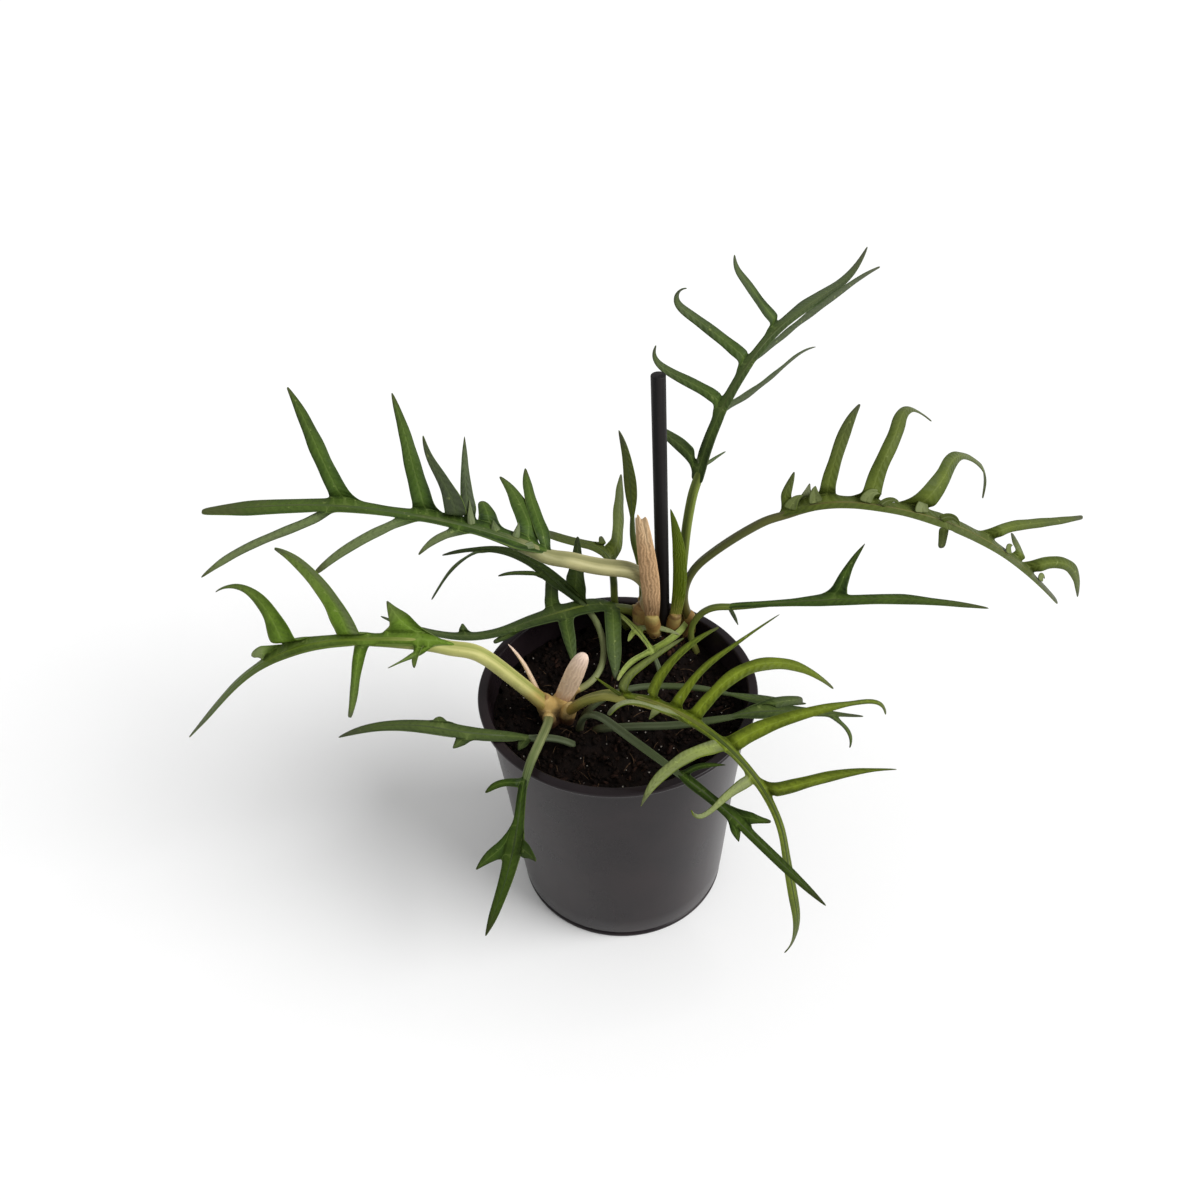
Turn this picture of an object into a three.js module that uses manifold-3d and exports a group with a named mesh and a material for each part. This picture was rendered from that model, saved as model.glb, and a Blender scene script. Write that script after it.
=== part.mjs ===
// Potted philodendron tortum: a young aroid with skeleton-like leaves in a round nursery pot.
// Millimetres, +Z up, origin at the middle of the pot's underside, the pot's front towards -Y.
import * as THREE from "three";
import { mergeVertices } from "three/addons/utils/BufferGeometryUtils.js";
import Module from "manifold-3d";

const wasm = await Module();
wasm.setup();

// Pot
const RIM_DIAMETER = 120;
const BASE_DIAMETER = 95;
const POT_HEIGHT = 115;
const POT_WALL = 1.4;
const LIP_WIDTH = 4.3;
const LIP_THICKNESS = 2.2;
const FOOT_HEIGHT = 2.4;
const FOOT_GROOVE = 1;
const FLOOR_THICKNESS = 2;
const DRAIN_COUNT = 6;
const DRAIN_WIDTH = 7;
const DRAIN_DEPTH = 9;
const DRAIN_HEIGHT = 4.5;
const DRAIN_TURN = -41;
const POT_SEGMENTS = 48;

// Soil
const SOIL_LEVEL = 102;
const SOIL_WAVE = 1.3;
const SOIL_RINGS = 7;
const MOUND_HEIGHT = 14;
const MOUND_TOP = 4;
const MOUND_REACH = 20;
const CHIP_COUNT = 26;
const CHIP_SIZE = 2.6;
const CHIP_SEED = 20;

// Stake
const STAKE_DIAMETER = 6;
const STAKE_FOOT = [23.5, 38, 40];
const STAKE_TOP = [20, 38, 244];

// Fits and foliage
const GAP = 0.3;
const SLIVER = 0.02;
const BLADE_THICKNESS = 1.2;
const RACHIS_THICKNESS = 1.9;
const RIB_STEPS = 22;
const COLLAR_WALL = 1.6;
const COLLAR_RISE = 4;
const CROWN_FOOT_RADIUS = 5;
const CROWN_FOOT_DEPTH = 9;
const CROWN_FRONT_FOOT = [-22, -6];
const CROWN_BACK_FOOT = [22, 40];

// Each leaf grows from start for length. heading and rise are its course in degrees at even
// stations from root to tip: heading turns from +X towards +Y, rise lifts from level towards +Z.
// blade is the share of the length where the petiole passes into the rachis. widths are of the
// petiole, the rachis and the end lobe. Each lobe leaves the rachis at the share at, on a course
// of its own.
const LEAVES = {
  leaf_far_left: {
    crown: "back",
    start: [13, 40, 121],
    length: 210,
    heading: [186, 192, 180, 182, 182, 182, 182],
    rise: [108, 15, 35, 18, 12, 4, -2],
    blade: 0.3,
    widths: [7, 6, 7.5],
    lobes: [
      { at: 0.35, length: 43, width: 5, heading: [90, 95, 100], rise: [40, 20, 10] },
      { at: 0.38, length: 38, width: 8, heading: [100, 105, 120], rise: [40, 20, 0] },
      { at: 0.45, length: 22, width: 7, heading: [100, 110, 120], rise: [40, 20, 0] },
      { at: 0.5, length: 38, width: 6, heading: [90, 90, 90], rise: [60, 45, 35] },
      { at: 0.52, length: 42, width: 7, heading: [130, 135, 120], rise: [100, 60, 55] },
      { at: 0.57, length: 55, width: 9.5, heading: [115, 105, 110], rise: [55, 40, 30] },
      { at: 0.72, length: 58, width: 9, heading: [135, 122, 120], rise: [47, 45, 35] },
      { at: 0.5, length: 25, width: 4.5, heading: [210, 210, 215], rise: [10, -15, -40] },
      { at: 0.6, length: 48, width: 5.5, heading: [205, 210, 210], rise: [15, -15, -30] },
      { at: 0.75, length: 61, width: 5.5, heading: [200, 205, 205], rise: [0, -15, -25] },
    ],
  },
  leaf_upright: {
    crown: "back",
    start: [29.5, 42, 120],
    length: 231,
    heading: [42, 42, 42, 45, 50, 52, 60],
    rise: [92, 85, 66, 36, 6, -6, 12],
    blade: 0.3,
    widths: [5, 4.5, 6],
    lobes: [
      { at: 0.33, length: 22, width: 6, heading: [150, 150, 150], rise: [55, 45, 25] },
      { at: 0.42, length: 41, width: 6, heading: [145, 155, 160, 150], rise: [65, 35, 10, 75] },
      { at: 0.53, length: 45, width: 6, heading: [145, 150, 160, 160], rise: [50, 35, 20, 110] },
      { at: 0.62, length: 36, width: 6, heading: [150, 150, 155, 150], rise: [55, 45, 40, 85] },
      { at: 0.33, length: 22, width: 3.5, heading: [50, 50, 55], rise: [-10, -15, -10] },
      { at: 0.42, length: 70, width: 4, heading: [45, 45, 50, 45], rise: [3, 5, 5, -20] },
      { at: 0.54, length: 91, width: 5, heading: [45, 43, 45, 50], rise: [2, 7, 6, -3] },
    ],
  },
  leaf_arching: {
    crown: "back",
    start: [34, 37.5, 119],
    length: 224,
    heading: [-2, -4, -2, -6, -2, -4, -2],
    rise: [98, 52, 31, -8, -26, -38, -50],
    blade: 0.34,
    widths: [4.5, 4.5, 5],
    lobes: [
      { at: 0.35, length: 18, width: 4, heading: [65, 65, 65], rise: [45, 35, 20] },
      { at: 0.4, length: 10, width: 4, heading: [90, 80, 75], rise: [30, 20, 5] },
      { at: 0.41, length: 47, width: 8, heading: [60, 65, 55], rise: [45, 30, 15] },
      { at: 0.51, length: 76, width: 7.5, heading: [60, 60, 55, 40], rise: [55, 40, -25, -50] },
      { at: 0.6, length: 97, width: 7.5, heading: [20, 80, 25, 50], rise: [50, -10, -40, -80] },
      { at: 0.75, length: 62, width: 5.5, heading: [30, 20, 25], rise: [10, -20, -20] },
      { at: 0.85, length: 23, width: 4, heading: [60, 85, 85], rise: [25, -5, -20] },
      { at: 0.88, length: 56, width: 5.5, heading: [25, 20, 20, 25], rise: [10, -20, -65, -75] },
      { at: 0.68, length: 9, width: 5, heading: [300, 300, 300], rise: [-70, -85, -90] },
    ],
  },
  leaf_low_right: {
    crown: "back",
    start: [37, 32, 104],
    length: 150,
    heading: [-10, -16, -10, -10, -6],
    rise: [120, 15, 10, 0, -8],
    blade: 0.35,
    widths: [3.6, 4.5, 5],
    lobes: [
      { at: 0.28, length: 9, width: 3, heading: [295, 295, 295], rise: [-35, -50, -60] },
      { at: 0.55, length: 31, width: 7, heading: [45, 50, 55], rise: [30, 25, 15] },
      { at: 0.75, length: 23, width: 4, heading: [35, 30, 25], rise: [5, -20, -40] },
    ],
  },
  leaf_back_left: {
    crown: "back",
    start: [11, 46, 116],
    length: 123,
    heading: [190, 190, 190, 188, 188],
    rise: [28, -4, -8, 19, 38],
    blade: 0.1,
    widths: [5, 8, 5],
    lobes: [
      { at: 0.11, length: 36, width: 7.5, heading: [276, 272, 268], rise: [-10, -22, -30] },
      { at: 0.28, length: 24, width: 6, heading: [255, 260, 260], rise: [-5, -20, -35] },
      { at: 0.47, length: 15, width: 6, heading: [200, 200, 200], rise: [-10, -20, -25] },
      { at: 0.33, length: 20, width: 5, heading: [100, 95, 90], rise: [10, 5, 0] },
      { at: 0.65, length: 7, width: 3.5, heading: [125, 120, 120], rise: [40, 35, 20] },
    ],
  },
  leaf_behind: {
    crown: "back",
    start: [9, 48.5, 103],
    length: 78,
    heading: [168, 166, 172, 172, 168],
    rise: [48, 92, 84, 12, 18],
    blade: 0.45,
    widths: [4.5, 5, 5],
    lobes: [
      { at: 0.55, length: 49, width: 5.5, heading: [80, 80, 90], rise: [35, 20, 10] },
      { at: 0.65, length: 6, width: 4, heading: [110, 105, 105], rise: [60, 50, 40] },
    ],
  },
  leaf_tall: {
    crown: "back",
    start: [13.5, 49.8, 119],
    length: 93,
    heading: [60, 152, 156, 73, 135, 156, 163],
    rise: [87, 80, 79, 84, 82, 76, 70],
    blade: 0.2,
    widths: [3, 6.2, 4.6],
    lobes: [],
  },
  leaf_star: {
    crown: "back",
    start: [14, 31, 101],
    length: 40,
    heading: [195, 200, 170, -5, -8],
    rise: [82, 82, 60, 5, 0],
    blade: 0.4,
    widths: [2.6, 3.2, 3],
    lobes: [
      { at: 0.5, length: 7, width: 3, heading: [125, 130, 135], rise: [-5, -5, -5] },
      { at: 0.5, length: 9, width: 2.8, heading: [245, 245, 245], rise: [0, -10, -20] },
      { at: 0.55, length: 14, width: 3, heading: [290, 292, 295], rise: [0, -10, -20] },
    ],
  },
  leaf_near_left: {
    crown: "front",
    start: [-31, -3, 109],
    length: 192,
    heading: [183, 180, 186, 183, 177, 180, 180],
    rise: [60, 51, 12, -3, -27, -45, -54],
    blade: 0.25,
    widths: [5, 4.5, 5.5],
    lobes: [
      { at: 0.4, length: 16, width: 8, heading: [100, 105, 115], rise: [35, 25, 10] },
      { at: 0.5, length: 54, width: 8.5, heading: [155, 155, 150, 160], rise: [110, 70, 40, 10] },
      { at: 0.62, length: 52, width: 7.5, heading: [145, 145, 150, 160], rise: [90, 60, 0, -40] },
      { at: 0.68, length: 8, width: 7, heading: [170, 175, 190], rise: [45, 5, -40] },
      { at: 0.47, length: 36, width: 5.5, heading: [235, 235, 230], rise: [-65, -70, -60] },
      { at: 0.33, length: 22, width: 3.5, heading: [225, 215, 210], rise: [-15, -5, 5] },
      { at: 0.33, length: 15, width: 3.5, heading: [225, 240, 250], rise: [5, -35, -75] },
    ],
  },
  leaf_front_down: {
    crown: "front",
    start: [-30, -10, 108],
    length: 114,
    heading: [264, 258, 255, 252, 240, 237, 240],
    rise: [45, 18, 0, -57, -63, -51, -42],
    blade: 0.35,
    widths: [4.2, 3.8, 6],
    lobes: [
      { at: 0.42, length: 16, width: 5, heading: [185, 185, 195], rise: [15, -5, -45] },
      { at: 0.62, length: 20, width: 7.5, heading: [200, 205, 205], rise: [-15, -35, -50] },
      { at: 0.62, length: 15, width: 6.5, heading: [310, 310, 300], rise: [15, 0, -20] },
    ],
  },
  leaf_near_right: {
    crown: "front",
    start: [-21, -7, 109],
    length: 218,
    heading: [-42, -45, -39, -42, -39, -39, -39],
    rise: [51, 45, 3, -39, -75, -78, -114],
    blade: 0.2,
    widths: [4.4, 4.5, 5],
    lobes: [
      { at: 0.2, length: 35, width: 4, heading: [40, 25, 25, 35], rise: [75, 25, 10, 10] },
      { at: 0.28, length: 38, width: 4.5, heading: [35, 30, 30, 30], rise: [50, 35, 20, 10] },
      { at: 0.33, length: 55, width: 4, heading: [35, 30, 25, 30], rise: [45, 30, 15, 10] },
      { at: 0.38, length: 75, width: 6, heading: [35, 30, 10, 15], rise: [40, 10, -40, -55] },
      { at: 0.45, length: 74, width: 7, heading: [10, 10, 15, 30], rise: [25, 10, -5, -75] },
      { at: 0.55, length: 51, width: 7, heading: [-10, 5, 5, 0], rise: [0, 15, 5, -15] },
      { at: 0.38, length: 37, width: 4.5, heading: [200, 190, 190, 215], rise: [10, 35, 35, -25] },
      { at: 0.45, length: 58, width: 5.5, heading: [225, 225, 230, 240], rise: [40, 25, 5, -20] },
      { at: 0.53, length: 46, width: 5, heading: [225, 230, 230, 225], rise: [15, 10, 25, 55] },
    ],
  },
  leaf_low_front: {
    crown: "front",
    start: [-17, -12, 103],
    length: 147,
    heading: [-54, -56, -46, -44, -44],
    rise: [70, 12, -6, -12, -24],
    blade: 0.45,
    widths: [3.4, 4.2, 5.5],
    lobes: [
      { at: 0.53, length: 18, width: 5, heading: [10, 5, 0], rise: [50, 25, 0] },
      { at: 0.7, length: 13, width: 6, heading: [0, -5, -10], rise: [35, 10, -15] },
      { at: 0.7, length: 8, width: 5, heading: [260, 270, 275], rise: [-20, -30, -40] },
    ],
  },
  leaf_low_left: {
    crown: "front",
    start: [-12, -20, 104],
    length: 108,
    heading: [190, 190, 182, 174, 180, 186],
    rise: [24, 24, 12, 12, -4, -30],
    blade: 0.25,
    widths: [3.4, 4.5, 5],
    lobes: [
      { at: 0.25, length: 10, width: 4.5, heading: [230, 230, 230], rise: [-15, -25, -45] },
      { at: 0.47, length: 10, width: 5.5, heading: [215, 215, 210], rise: [-10, -15, -25] },
      { at: 0.55, length: 8, width: 5, heading: [135, 140, 150], rise: [35, 10, -10] },
    ],
  },
  leaf_swan: {
    crown: "front",
    start: [-20, 6, 107],
    length: 131,
    heading: [18, 84, 146, 142, 156, 160],
    rise: [16, 31, 26, 14, -12, -30],
    blade: 0.35,
    widths: [4, 5, 4.5],
    lobes: [
      { at: 0.45, length: 38, width: 5, heading: [125, 125, 125], rise: [110, 110, 95] },
      { at: 0.55, length: 22, width: 3.5, heading: [190, 185, 190], rise: [15, 10, -15] },
      { at: 0.82, length: 35, width: 3.2, heading: [215, 220, 220], rise: [-10, -25, -45] },
    ],
  },
  leaf_far_right_low: {
    crown: "front",
    start: [-15, -4, 103],
    length: 100,
    heading: [3, -6, -15, -12],
    rise: [54, 6, -6, 3],
    blade: 0.6,
    widths: [3.2, 4, 4.5],
    lobes: [],
  },
  leaf_mid_right: {
    crown: "front",
    start: [-10, -13, 103],
    length: 117,
    heading: [-30, -15, 6, 3, -12],
    rise: [30, 12, 15, -6, -9],
    blade: 0.5,
    widths: [3.6, 6, 5],
    lobes: [
      { at: 0.57, length: 25, width: 5.5, heading: [20, 15, 10], rise: [20, 0, -25] },
      { at: 0.82, length: 27, width: 3, heading: [-40, -25, -25, -30], rise: [-20, -15, -55, -105] },
    ],
  },
};

// Leaf sheaths: the papery or fleshy wraps that stand on the crowns.
const SHEATHS = {
  sheath_pink_thick: {
    crown: "front",
    start: [-25, -0.5, 108],
    length: 30,
    heading: [5, 0, 0],
    rise: [62, 70, 66],
    blade: 0.5,
    widths: [6.4, 7.6, 4.5],
    lobes: [{ at: 0.2, length: 16, width: 4, heading: [0, 5, 20], rise: [35, 50, 62] }],
  },
  sheath_pink_thin: {
    crown: "front",
    start: [-33.5, 1.5, 108],
    length: 36,
    heading: [175, 185, 190],
    rise: [78, 74, 60],
    blade: 0.5,
    widths: [3.6, 3, 1.6],
    lobes: [],
  },
  sheath_tan: {
    crown: "back",
    start: [18, 46.5, 121],
    length: 58,
    heading: [180, 180, 180],
    rise: [90, 84, 84],
    blade: 0.6,
    widths: [6.6, 7.4, 3.6],
    lobes: [],
  },
  sheath_green: {
    crown: "back",
    start: [27, 35, 121],
    length: 62,
    heading: [0, 0, 0],
    rise: [80, 92, 104],
    blade: 0.6,
    widths: [4.4, 5.2, 1.8],
    lobes: [],
  },
};

const COLOURS = {
  pot: [0x1b1b1d, 0.35],
  soil: [0x1a120d, 0.95],
  stake: [0x141414, 0.45],
  crown: [0xb99a5a, 0.6],
  green: [0x3c6a1e, 0.4],
  deep_green: [0x1e4420, 0.38],
  pink: [0xd9b49c, 0.55],
  tan: [0xb48a62, 0.7],
};

// A solid from any closed three.js geometry.
function solidFrom(geometry) {
  const bare = geometry.clone();
  bare.deleteAttribute("normal");
  bare.deleteAttribute("uv");
  const merged = mergeVertices(bare, 1e-4);
  const vertProperties = new Float32Array(merged.attributes.position.array);
  const triVerts = new Uint32Array(merged.index.array);
  return new wasm.Manifold(new wasm.Mesh({ numProp: 3, vertProperties, triVerts }));
}

function geometryFrom(solid) {
  const mesh = solid.getMesh();
  const geometry = new THREE.BufferGeometry();
  const positions = new Float32Array(mesh.vertProperties);
  geometry.setAttribute("position", new THREE.BufferAttribute(positions, 3));
  geometry.setIndex(new THREE.BufferAttribute(new Uint32Array(mesh.triVerts), 1));
  geometry.computeVertexNormals();
  return geometry;
}

function joined(solids) {
  return solids.reduce((all, one) => all.add(one));
}

// The main body of a cut solid, without slivers that the cut left loose.
function mainBody(solid) {
  return solid.decompose().reduce((most, one) => (one.volume() > most.volume() ? one : most));
}

// The value at share u of a list of even stations.
function between(list, u) {
  const place = u * (list.length - 1);
  const first = Math.min(Math.floor(place), list.length - 2);
  return THREE.MathUtils.lerp(list[first], list[first + 1], place - first);
}

function courseAt(grower, u) {
  const heading = THREE.MathUtils.degToRad(between(grower.heading, u));
  const rise = THREE.MathUtils.degToRad(between(grower.rise, u));
  const level = Math.cos(rise);
  return new THREE.Vector3(level * Math.cos(heading), level * Math.sin(heading), Math.sin(rise));
}

// Walks a stem's course in short paces and keeps every fourth point.
function route(grower, start, steps) {
  const paces = steps * 4;
  const here = start.clone();
  const points = [start.clone()];
  for (let i = 0; i < paces; i += 1) {
    here.addScaledVector(courseAt(grower, (i + 0.5) / paces), grower.length / paces);
    if (i % 4 === 3) points.push(here.clone());
  }
  return points;
}

function tangentAt(points, i) {
  const before = points[Math.max(i - 1, 0)];
  const after = points[Math.min(i + 1, points.length - 1)];
  return after.clone().sub(before).normalize();
}

// Side directions that stay square to the route, starting as near as they can to wish.
function sidesAlong(points, wish) {
  let side = wish;
  return points.map((point, i) => {
    const along = tangentAt(points, i);
    side = side.clone().addScaledVector(along, -side.dot(along)).normalize();
    return side;
  });
}

// Lays a bar that stands from -0.5 to 0.5 on Y, and from -1 to 1 across, along a route.
function laid(bar, points, sides, halfWidth, halfThickness) {
  const steps = points.length - 1;
  const position = bar.attributes.position;
  for (let i = 0; i < position.count; i += 1) {
    const station = Math.round((position.getY(i) + 0.5) * steps);
    const u = station / steps;
    const side = sides[station];
    const normal = side.clone().cross(tangentAt(points, station));
    const place = points[station].clone();
    place.addScaledVector(side, position.getX(i) * halfWidth(u));
    place.addScaledVector(normal, position.getZ(i) * halfThickness(u));
    position.setXYZ(i, place.x, place.y, place.z);
  }
  return solidFrom(bar);
}

function ribWidth(leaf, u) {
  const [petiole, rachis, end] = leaf.widths;
  const swell = THREE.MathUtils.smoothstep(u, leaf.blade, leaf.blade + 0.1);
  const open = THREE.MathUtils.lerp(petiole, rachis, swell);
  const last = THREE.MathUtils.lerp(open, end, THREE.MathUtils.smoothstep(u, 0.8, 0.88));
  return last * (1 - 0.8 * THREE.MathUtils.smoothstep(u, 0.86, 1));
}

function ribThickness(leaf, u) {
  const flat = THREE.MathUtils.smoothstep(u, leaf.blade - 0.1, leaf.blade + 0.15);
  const full = THREE.MathUtils.lerp(leaf.widths[0] * 0.85, RACHIS_THICKNESS, flat);
  return Math.min(full, THREE.MathUtils.lerp(full, BLADE_THICKNESS, u));
}

// The petiole and rachis: a six-sided stem, flatter and wider along the blade. extra swells it.
function ribSolid(leaf, points, extra = 0) {
  const across = new THREE.Vector3(0, 0, 1).cross(courseAt(leaf, 0.5));
  const sides = sidesAlong(points, across);
  const bar = new THREE.CylinderGeometry(1, 1, 1, 6, points.length - 1, false, Math.PI / 2);
  const halfWidth = (u) => ribWidth(leaf, u) / 2 + extra;
  const halfThickness = (u) => ribThickness(leaf, u) / 2 + extra;
  return laid(bar, points, sides, halfWidth, halfThickness);
}

// One lobe: a flat strip with a flared root and a tapering tip, its root in the middle of the rib.
function lobeSolid(lobe, ribPoints) {
  const place = lobe.at * (ribPoints.length - 1);
  const station = Math.floor(place);
  const root = ribPoints[station].clone().lerp(ribPoints[station + 1], place - station);
  const steps = Math.max(3, Math.round(lobe.length / 10));
  const points = route(lobe, root, steps);
  const sides = sidesAlong(points, tangentAt(ribPoints, station));
  const bar = new THREE.BoxGeometry(2, 1, 2, 1, steps, 1);
  const flare = (u) => 1 + 0.5 * (1 - THREE.MathUtils.smoothstep(u, 0, 0.2));
  const taper = (u) => 1 - 0.78 * THREE.MathUtils.smoothstep(u, 0.5, 1);
  const halfWidth = (u) => (lobe.width / 2) * flare(u) * taper(u);
  const halfThickness = (u) => (BLADE_THICKNESS / 2) * (1 - 0.3 * u);
  return laid(bar, points, sides, halfWidth, halfThickness);
}

function ribRoute(leaf) {
  const steps = Math.max(8, Math.round((RIB_STEPS * leaf.length) / 230));
  return route(leaf, new THREE.Vector3(...leaf.start), steps);
}

function leafSolid(leaf) {
  const points = ribRoute(leaf);
  const lobes = leaf.lobes.map((lobe) => lobeSolid(lobe, points));
  return joined([ribSolid(leaf, points), ...lobes]);
}

// The fleshy base of one petiole: from the crown's foot, round the petiole, and a little up it.
function collarSolid(leaf, foot, extra) {
  const start = new THREE.Vector3(...leaf.start);
  const lowest = new THREE.Vector3(...foot, SOIL_LEVEL - CROWN_FOOT_DEPTH - extra);
  const below = start.clone().lerp(new THREE.Vector3(...foot, start.z), 0.35);
  below.z = SOIL_LEVEL - 2;
  const above = start.clone().addScaledVector(courseAt(leaf, 0), COLLAR_RISE + extra);
  const points = [lowest, below, start, above];
  const radius = leaf.widths[0] / 2 + COLLAR_WALL + extra;
  const radii = [CROWN_FOOT_RADIUS + extra, radius, radius, radius - 0.8];
  const sides = sidesAlong(points, new THREE.Vector3(0, 1, 0));
  const bar = new THREE.CylinderGeometry(1, 1, 1, 7, 3);
  const half = (u) => radii[Math.round(u * 3)];
  return laid(bar, points, sides, half, half);
}

function crownSolid(growers, foot, extra) {
  return joined(growers.map((leaf) => collarSolid(leaf, foot, extra)));
}

function crownWithSockets(growers, foot) {
  const sockets = growers.map((leaf) => ribSolid(leaf, ribRoute(leaf), GAP));
  return crownSolid(growers, foot, 0).subtract(joined(sockets));
}

function potSolid() {
  const rim = RIM_DIAMETER / 2;
  const base = BASE_DIAMETER / 2;
  const wallTop = rim - LIP_WIDTH + POT_WALL;
  const under = POT_HEIGHT - LIP_THICKNESS;
  const profile = [
    [0, 0],
    [base - 0.5, 0],
    [base, 0.5],
    [base, FOOT_HEIGHT - 0.4],
    [base - FOOT_GROOVE, FOOT_HEIGHT],
    [base - FOOT_GROOVE, FOOT_HEIGHT + 0.8],
    [base + 0.2, FOOT_HEIGHT + 1.4],
    [wallTop, under - 1],
    [wallTop + 0.3, under],
    [rim, under],
    [rim, POT_HEIGHT - 0.5],
    [rim - 0.5, POT_HEIGHT],
    [rim - LIP_WIDTH + 0.5, POT_HEIGHT],
    [rim - LIP_WIDTH, POT_HEIGHT - 0.5],
    [wallTop - POT_WALL, under - 1],
    [base - FOOT_GROOVE - POT_WALL, FLOOR_THICKNESS + 2],
    [base - FOOT_GROOVE - POT_WALL - 2, FLOOR_THICKNESS],
    [0, FLOOR_THICKNESS],
  ];
  const outline = profile.map(([r, z]) => new THREE.Vector2(r, z));
  const turned = new THREE.LatheGeometry(outline, POT_SEGMENTS).rotateX(Math.PI / 2);
  const drains = [];
  for (let i = 0; i < DRAIN_COUNT; i += 1) {
    const slot = new THREE.BoxGeometry(DRAIN_DEPTH, DRAIN_WIDTH, DRAIN_HEIGHT * 2);
    slot.translate(base - FOOT_GROOVE, 0, 0);
    slot.rotateZ(THREE.MathUtils.degToRad(DRAIN_TURN + (360 * i) / DRAIN_COUNT));
    drains.push(solidFrom(slot));
  }
  return solidFrom(turned).subtract(joined(drains));
}

// Uneven soil surface, heaped up round the back crown.
function soilHeight(x, y, edge) {
  const inner = 1 - THREE.MathUtils.smoothstep(Math.hypot(x, y), edge - 10, edge);
  const wave = Math.sin(x / 7.5 + 0.6) * Math.cos(y / 6) + 0.5 * Math.sin((x - y) / 3.7);
  const fromCrown = Math.hypot(x - CROWN_BACK_FOOT[0], y - CROWN_BACK_FOOT[1]);
  const mound = 1 - THREE.MathUtils.smoothstep(fromCrown, MOUND_TOP, MOUND_REACH);
  return SOIL_LEVEL + SOIL_WAVE * wave * inner + MOUND_HEIGHT * mound;
}

// A repeatable stream of numbers from 0 to 1.
function randomFrom(seed) {
  let state = seed;
  return () => {
    state = (state * 16807) % 2147483647;
    return state / 2147483647;
  };
}

function chips(edge) {
  const random = randomFrom(CHIP_SEED);
  const solids = [];
  for (let i = 0; i < CHIP_COUNT; i += 1) {
    const angle = random() * 2 * Math.PI;
    const radius = (edge - 5) * Math.sqrt(random());
    const chip = new THREE.IcosahedronGeometry(CHIP_SIZE * (0.6 + 0.5 * random()), 0);
    chip.scale(1, 0.6, 0.45);
    chip.rotateY(random() - 0.5);
    chip.rotateZ(random() * Math.PI);
    const x = radius * Math.cos(angle);
    const y = radius * Math.sin(angle);
    chip.translate(x, y, soilHeight(x, y, edge));
    solids.push(solidFrom(chip));
  }
  return joined(solids);
}

function soilSolid() {
  const base = BASE_DIAMETER / 2 - FOOT_GROOVE - POT_WALL - GAP;
  const bottom = FLOOR_THICKNESS + GAP;
  const top = RIM_DIAMETER / 2 - LIP_WIDTH - GAP;
  const slope = (top - base) / (POT_HEIGHT - LIP_THICKNESS - 1 - FLOOR_THICKNESS - 2);
  const edge = base + slope * (SOIL_LEVEL - FLOOR_THICKNESS - 2) - GAP;
  const outline = [new THREE.Vector2(0, bottom), new THREE.Vector2(base - 2, bottom)];
  outline.push(new THREE.Vector2(base, bottom + 2));
  for (let ring = 0; ring < SOIL_RINGS; ring += 1) {
    outline.push(new THREE.Vector2(edge * (1 - ring / SOIL_RINGS), SOIL_LEVEL));
  }
  outline.push(new THREE.Vector2(0, SOIL_LEVEL));
  const turned = new THREE.LatheGeometry(outline, 32).rotateX(Math.PI / 2);
  const position = turned.attributes.position;
  for (let i = 0; i < position.count; i += 1) {
    if (position.getZ(i) > SOIL_LEVEL - 1) {
      position.setZ(i, soilHeight(position.getX(i), position.getY(i), edge));
    }
  }
  return solidFrom(turned).add(chips(edge));
}

function stakeSolid(extra = 0) {
  const foot = new THREE.Vector3(...STAKE_FOOT);
  const top = new THREE.Vector3(...STAKE_TOP);
  foot.z -= extra;
  const sides = sidesAlong([foot, top], new THREE.Vector3(1, 0, 0));
  const bar = new THREE.CylinderGeometry(1, 1, 1, 12);
  const half = () => STAKE_DIAMETER / 2 + extra;
  return laid(bar, [foot, top], sides, half, half);
}

const philodendron = new THREE.Group();

function place(name, solid, look) {
  const [color, roughness] = COLOURS[look];
  const material = new THREE.MeshStandardMaterial({ color, roughness, metalness: 0 });
  const mesh = new THREE.Mesh(geometryFrom(solid.simplify(SLIVER)), material);
  mesh.name = name;
  philodendron.add(mesh);
}

const growers = [...Object.values(LEAVES), ...Object.values(SHEATHS)];
const frontGrowers = growers.filter((leaf) => leaf.crown === "front");
const backGrowers = growers.filter((leaf) => leaf.crown === "back");
const stakeHole = stakeSolid(GAP);
const stemHoles = joined([
  crownSolid(frontGrowers, CROWN_FRONT_FOOT, GAP),
  crownSolid(backGrowers, CROWN_BACK_FOOT, GAP),
  ...backGrowers.map((leaf) => ribSolid(leaf, ribRoute(leaf), GAP)),
  stakeHole,
]);

place("pot", potSolid(), "pot");
place("soil", mainBody(soilSolid().subtract(stemHoles)), "soil");
place("stake", stakeSolid(), "stake");
place("crown_front", crownWithSockets(frontGrowers, CROWN_FRONT_FOOT), "crown");
place("crown_back", crownWithSockets(backGrowers, CROWN_BACK_FOOT).subtract(stakeHole), "crown");
for (const [name, leaf] of Object.entries(LEAVES)) {
  place(name, leafSolid(leaf), leaf.crown === "front" ? "green" : "deep_green");
}
for (const [name, sheath] of Object.entries(SHEATHS)) {
  place(name, leafSolid(sheath), sheath.crown === "front" ? "pink" : "tan");
}

export default philodendron;
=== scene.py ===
"""Potted philodendron tortum on a pale studio floor.

Metres, +Z up, origin at the middle of the pot's underside, the pot's front towards -Y.
"""
import math
import random
import zlib

import bmesh
import bpy
from mathutils import Matrix, Vector, noise


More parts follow.
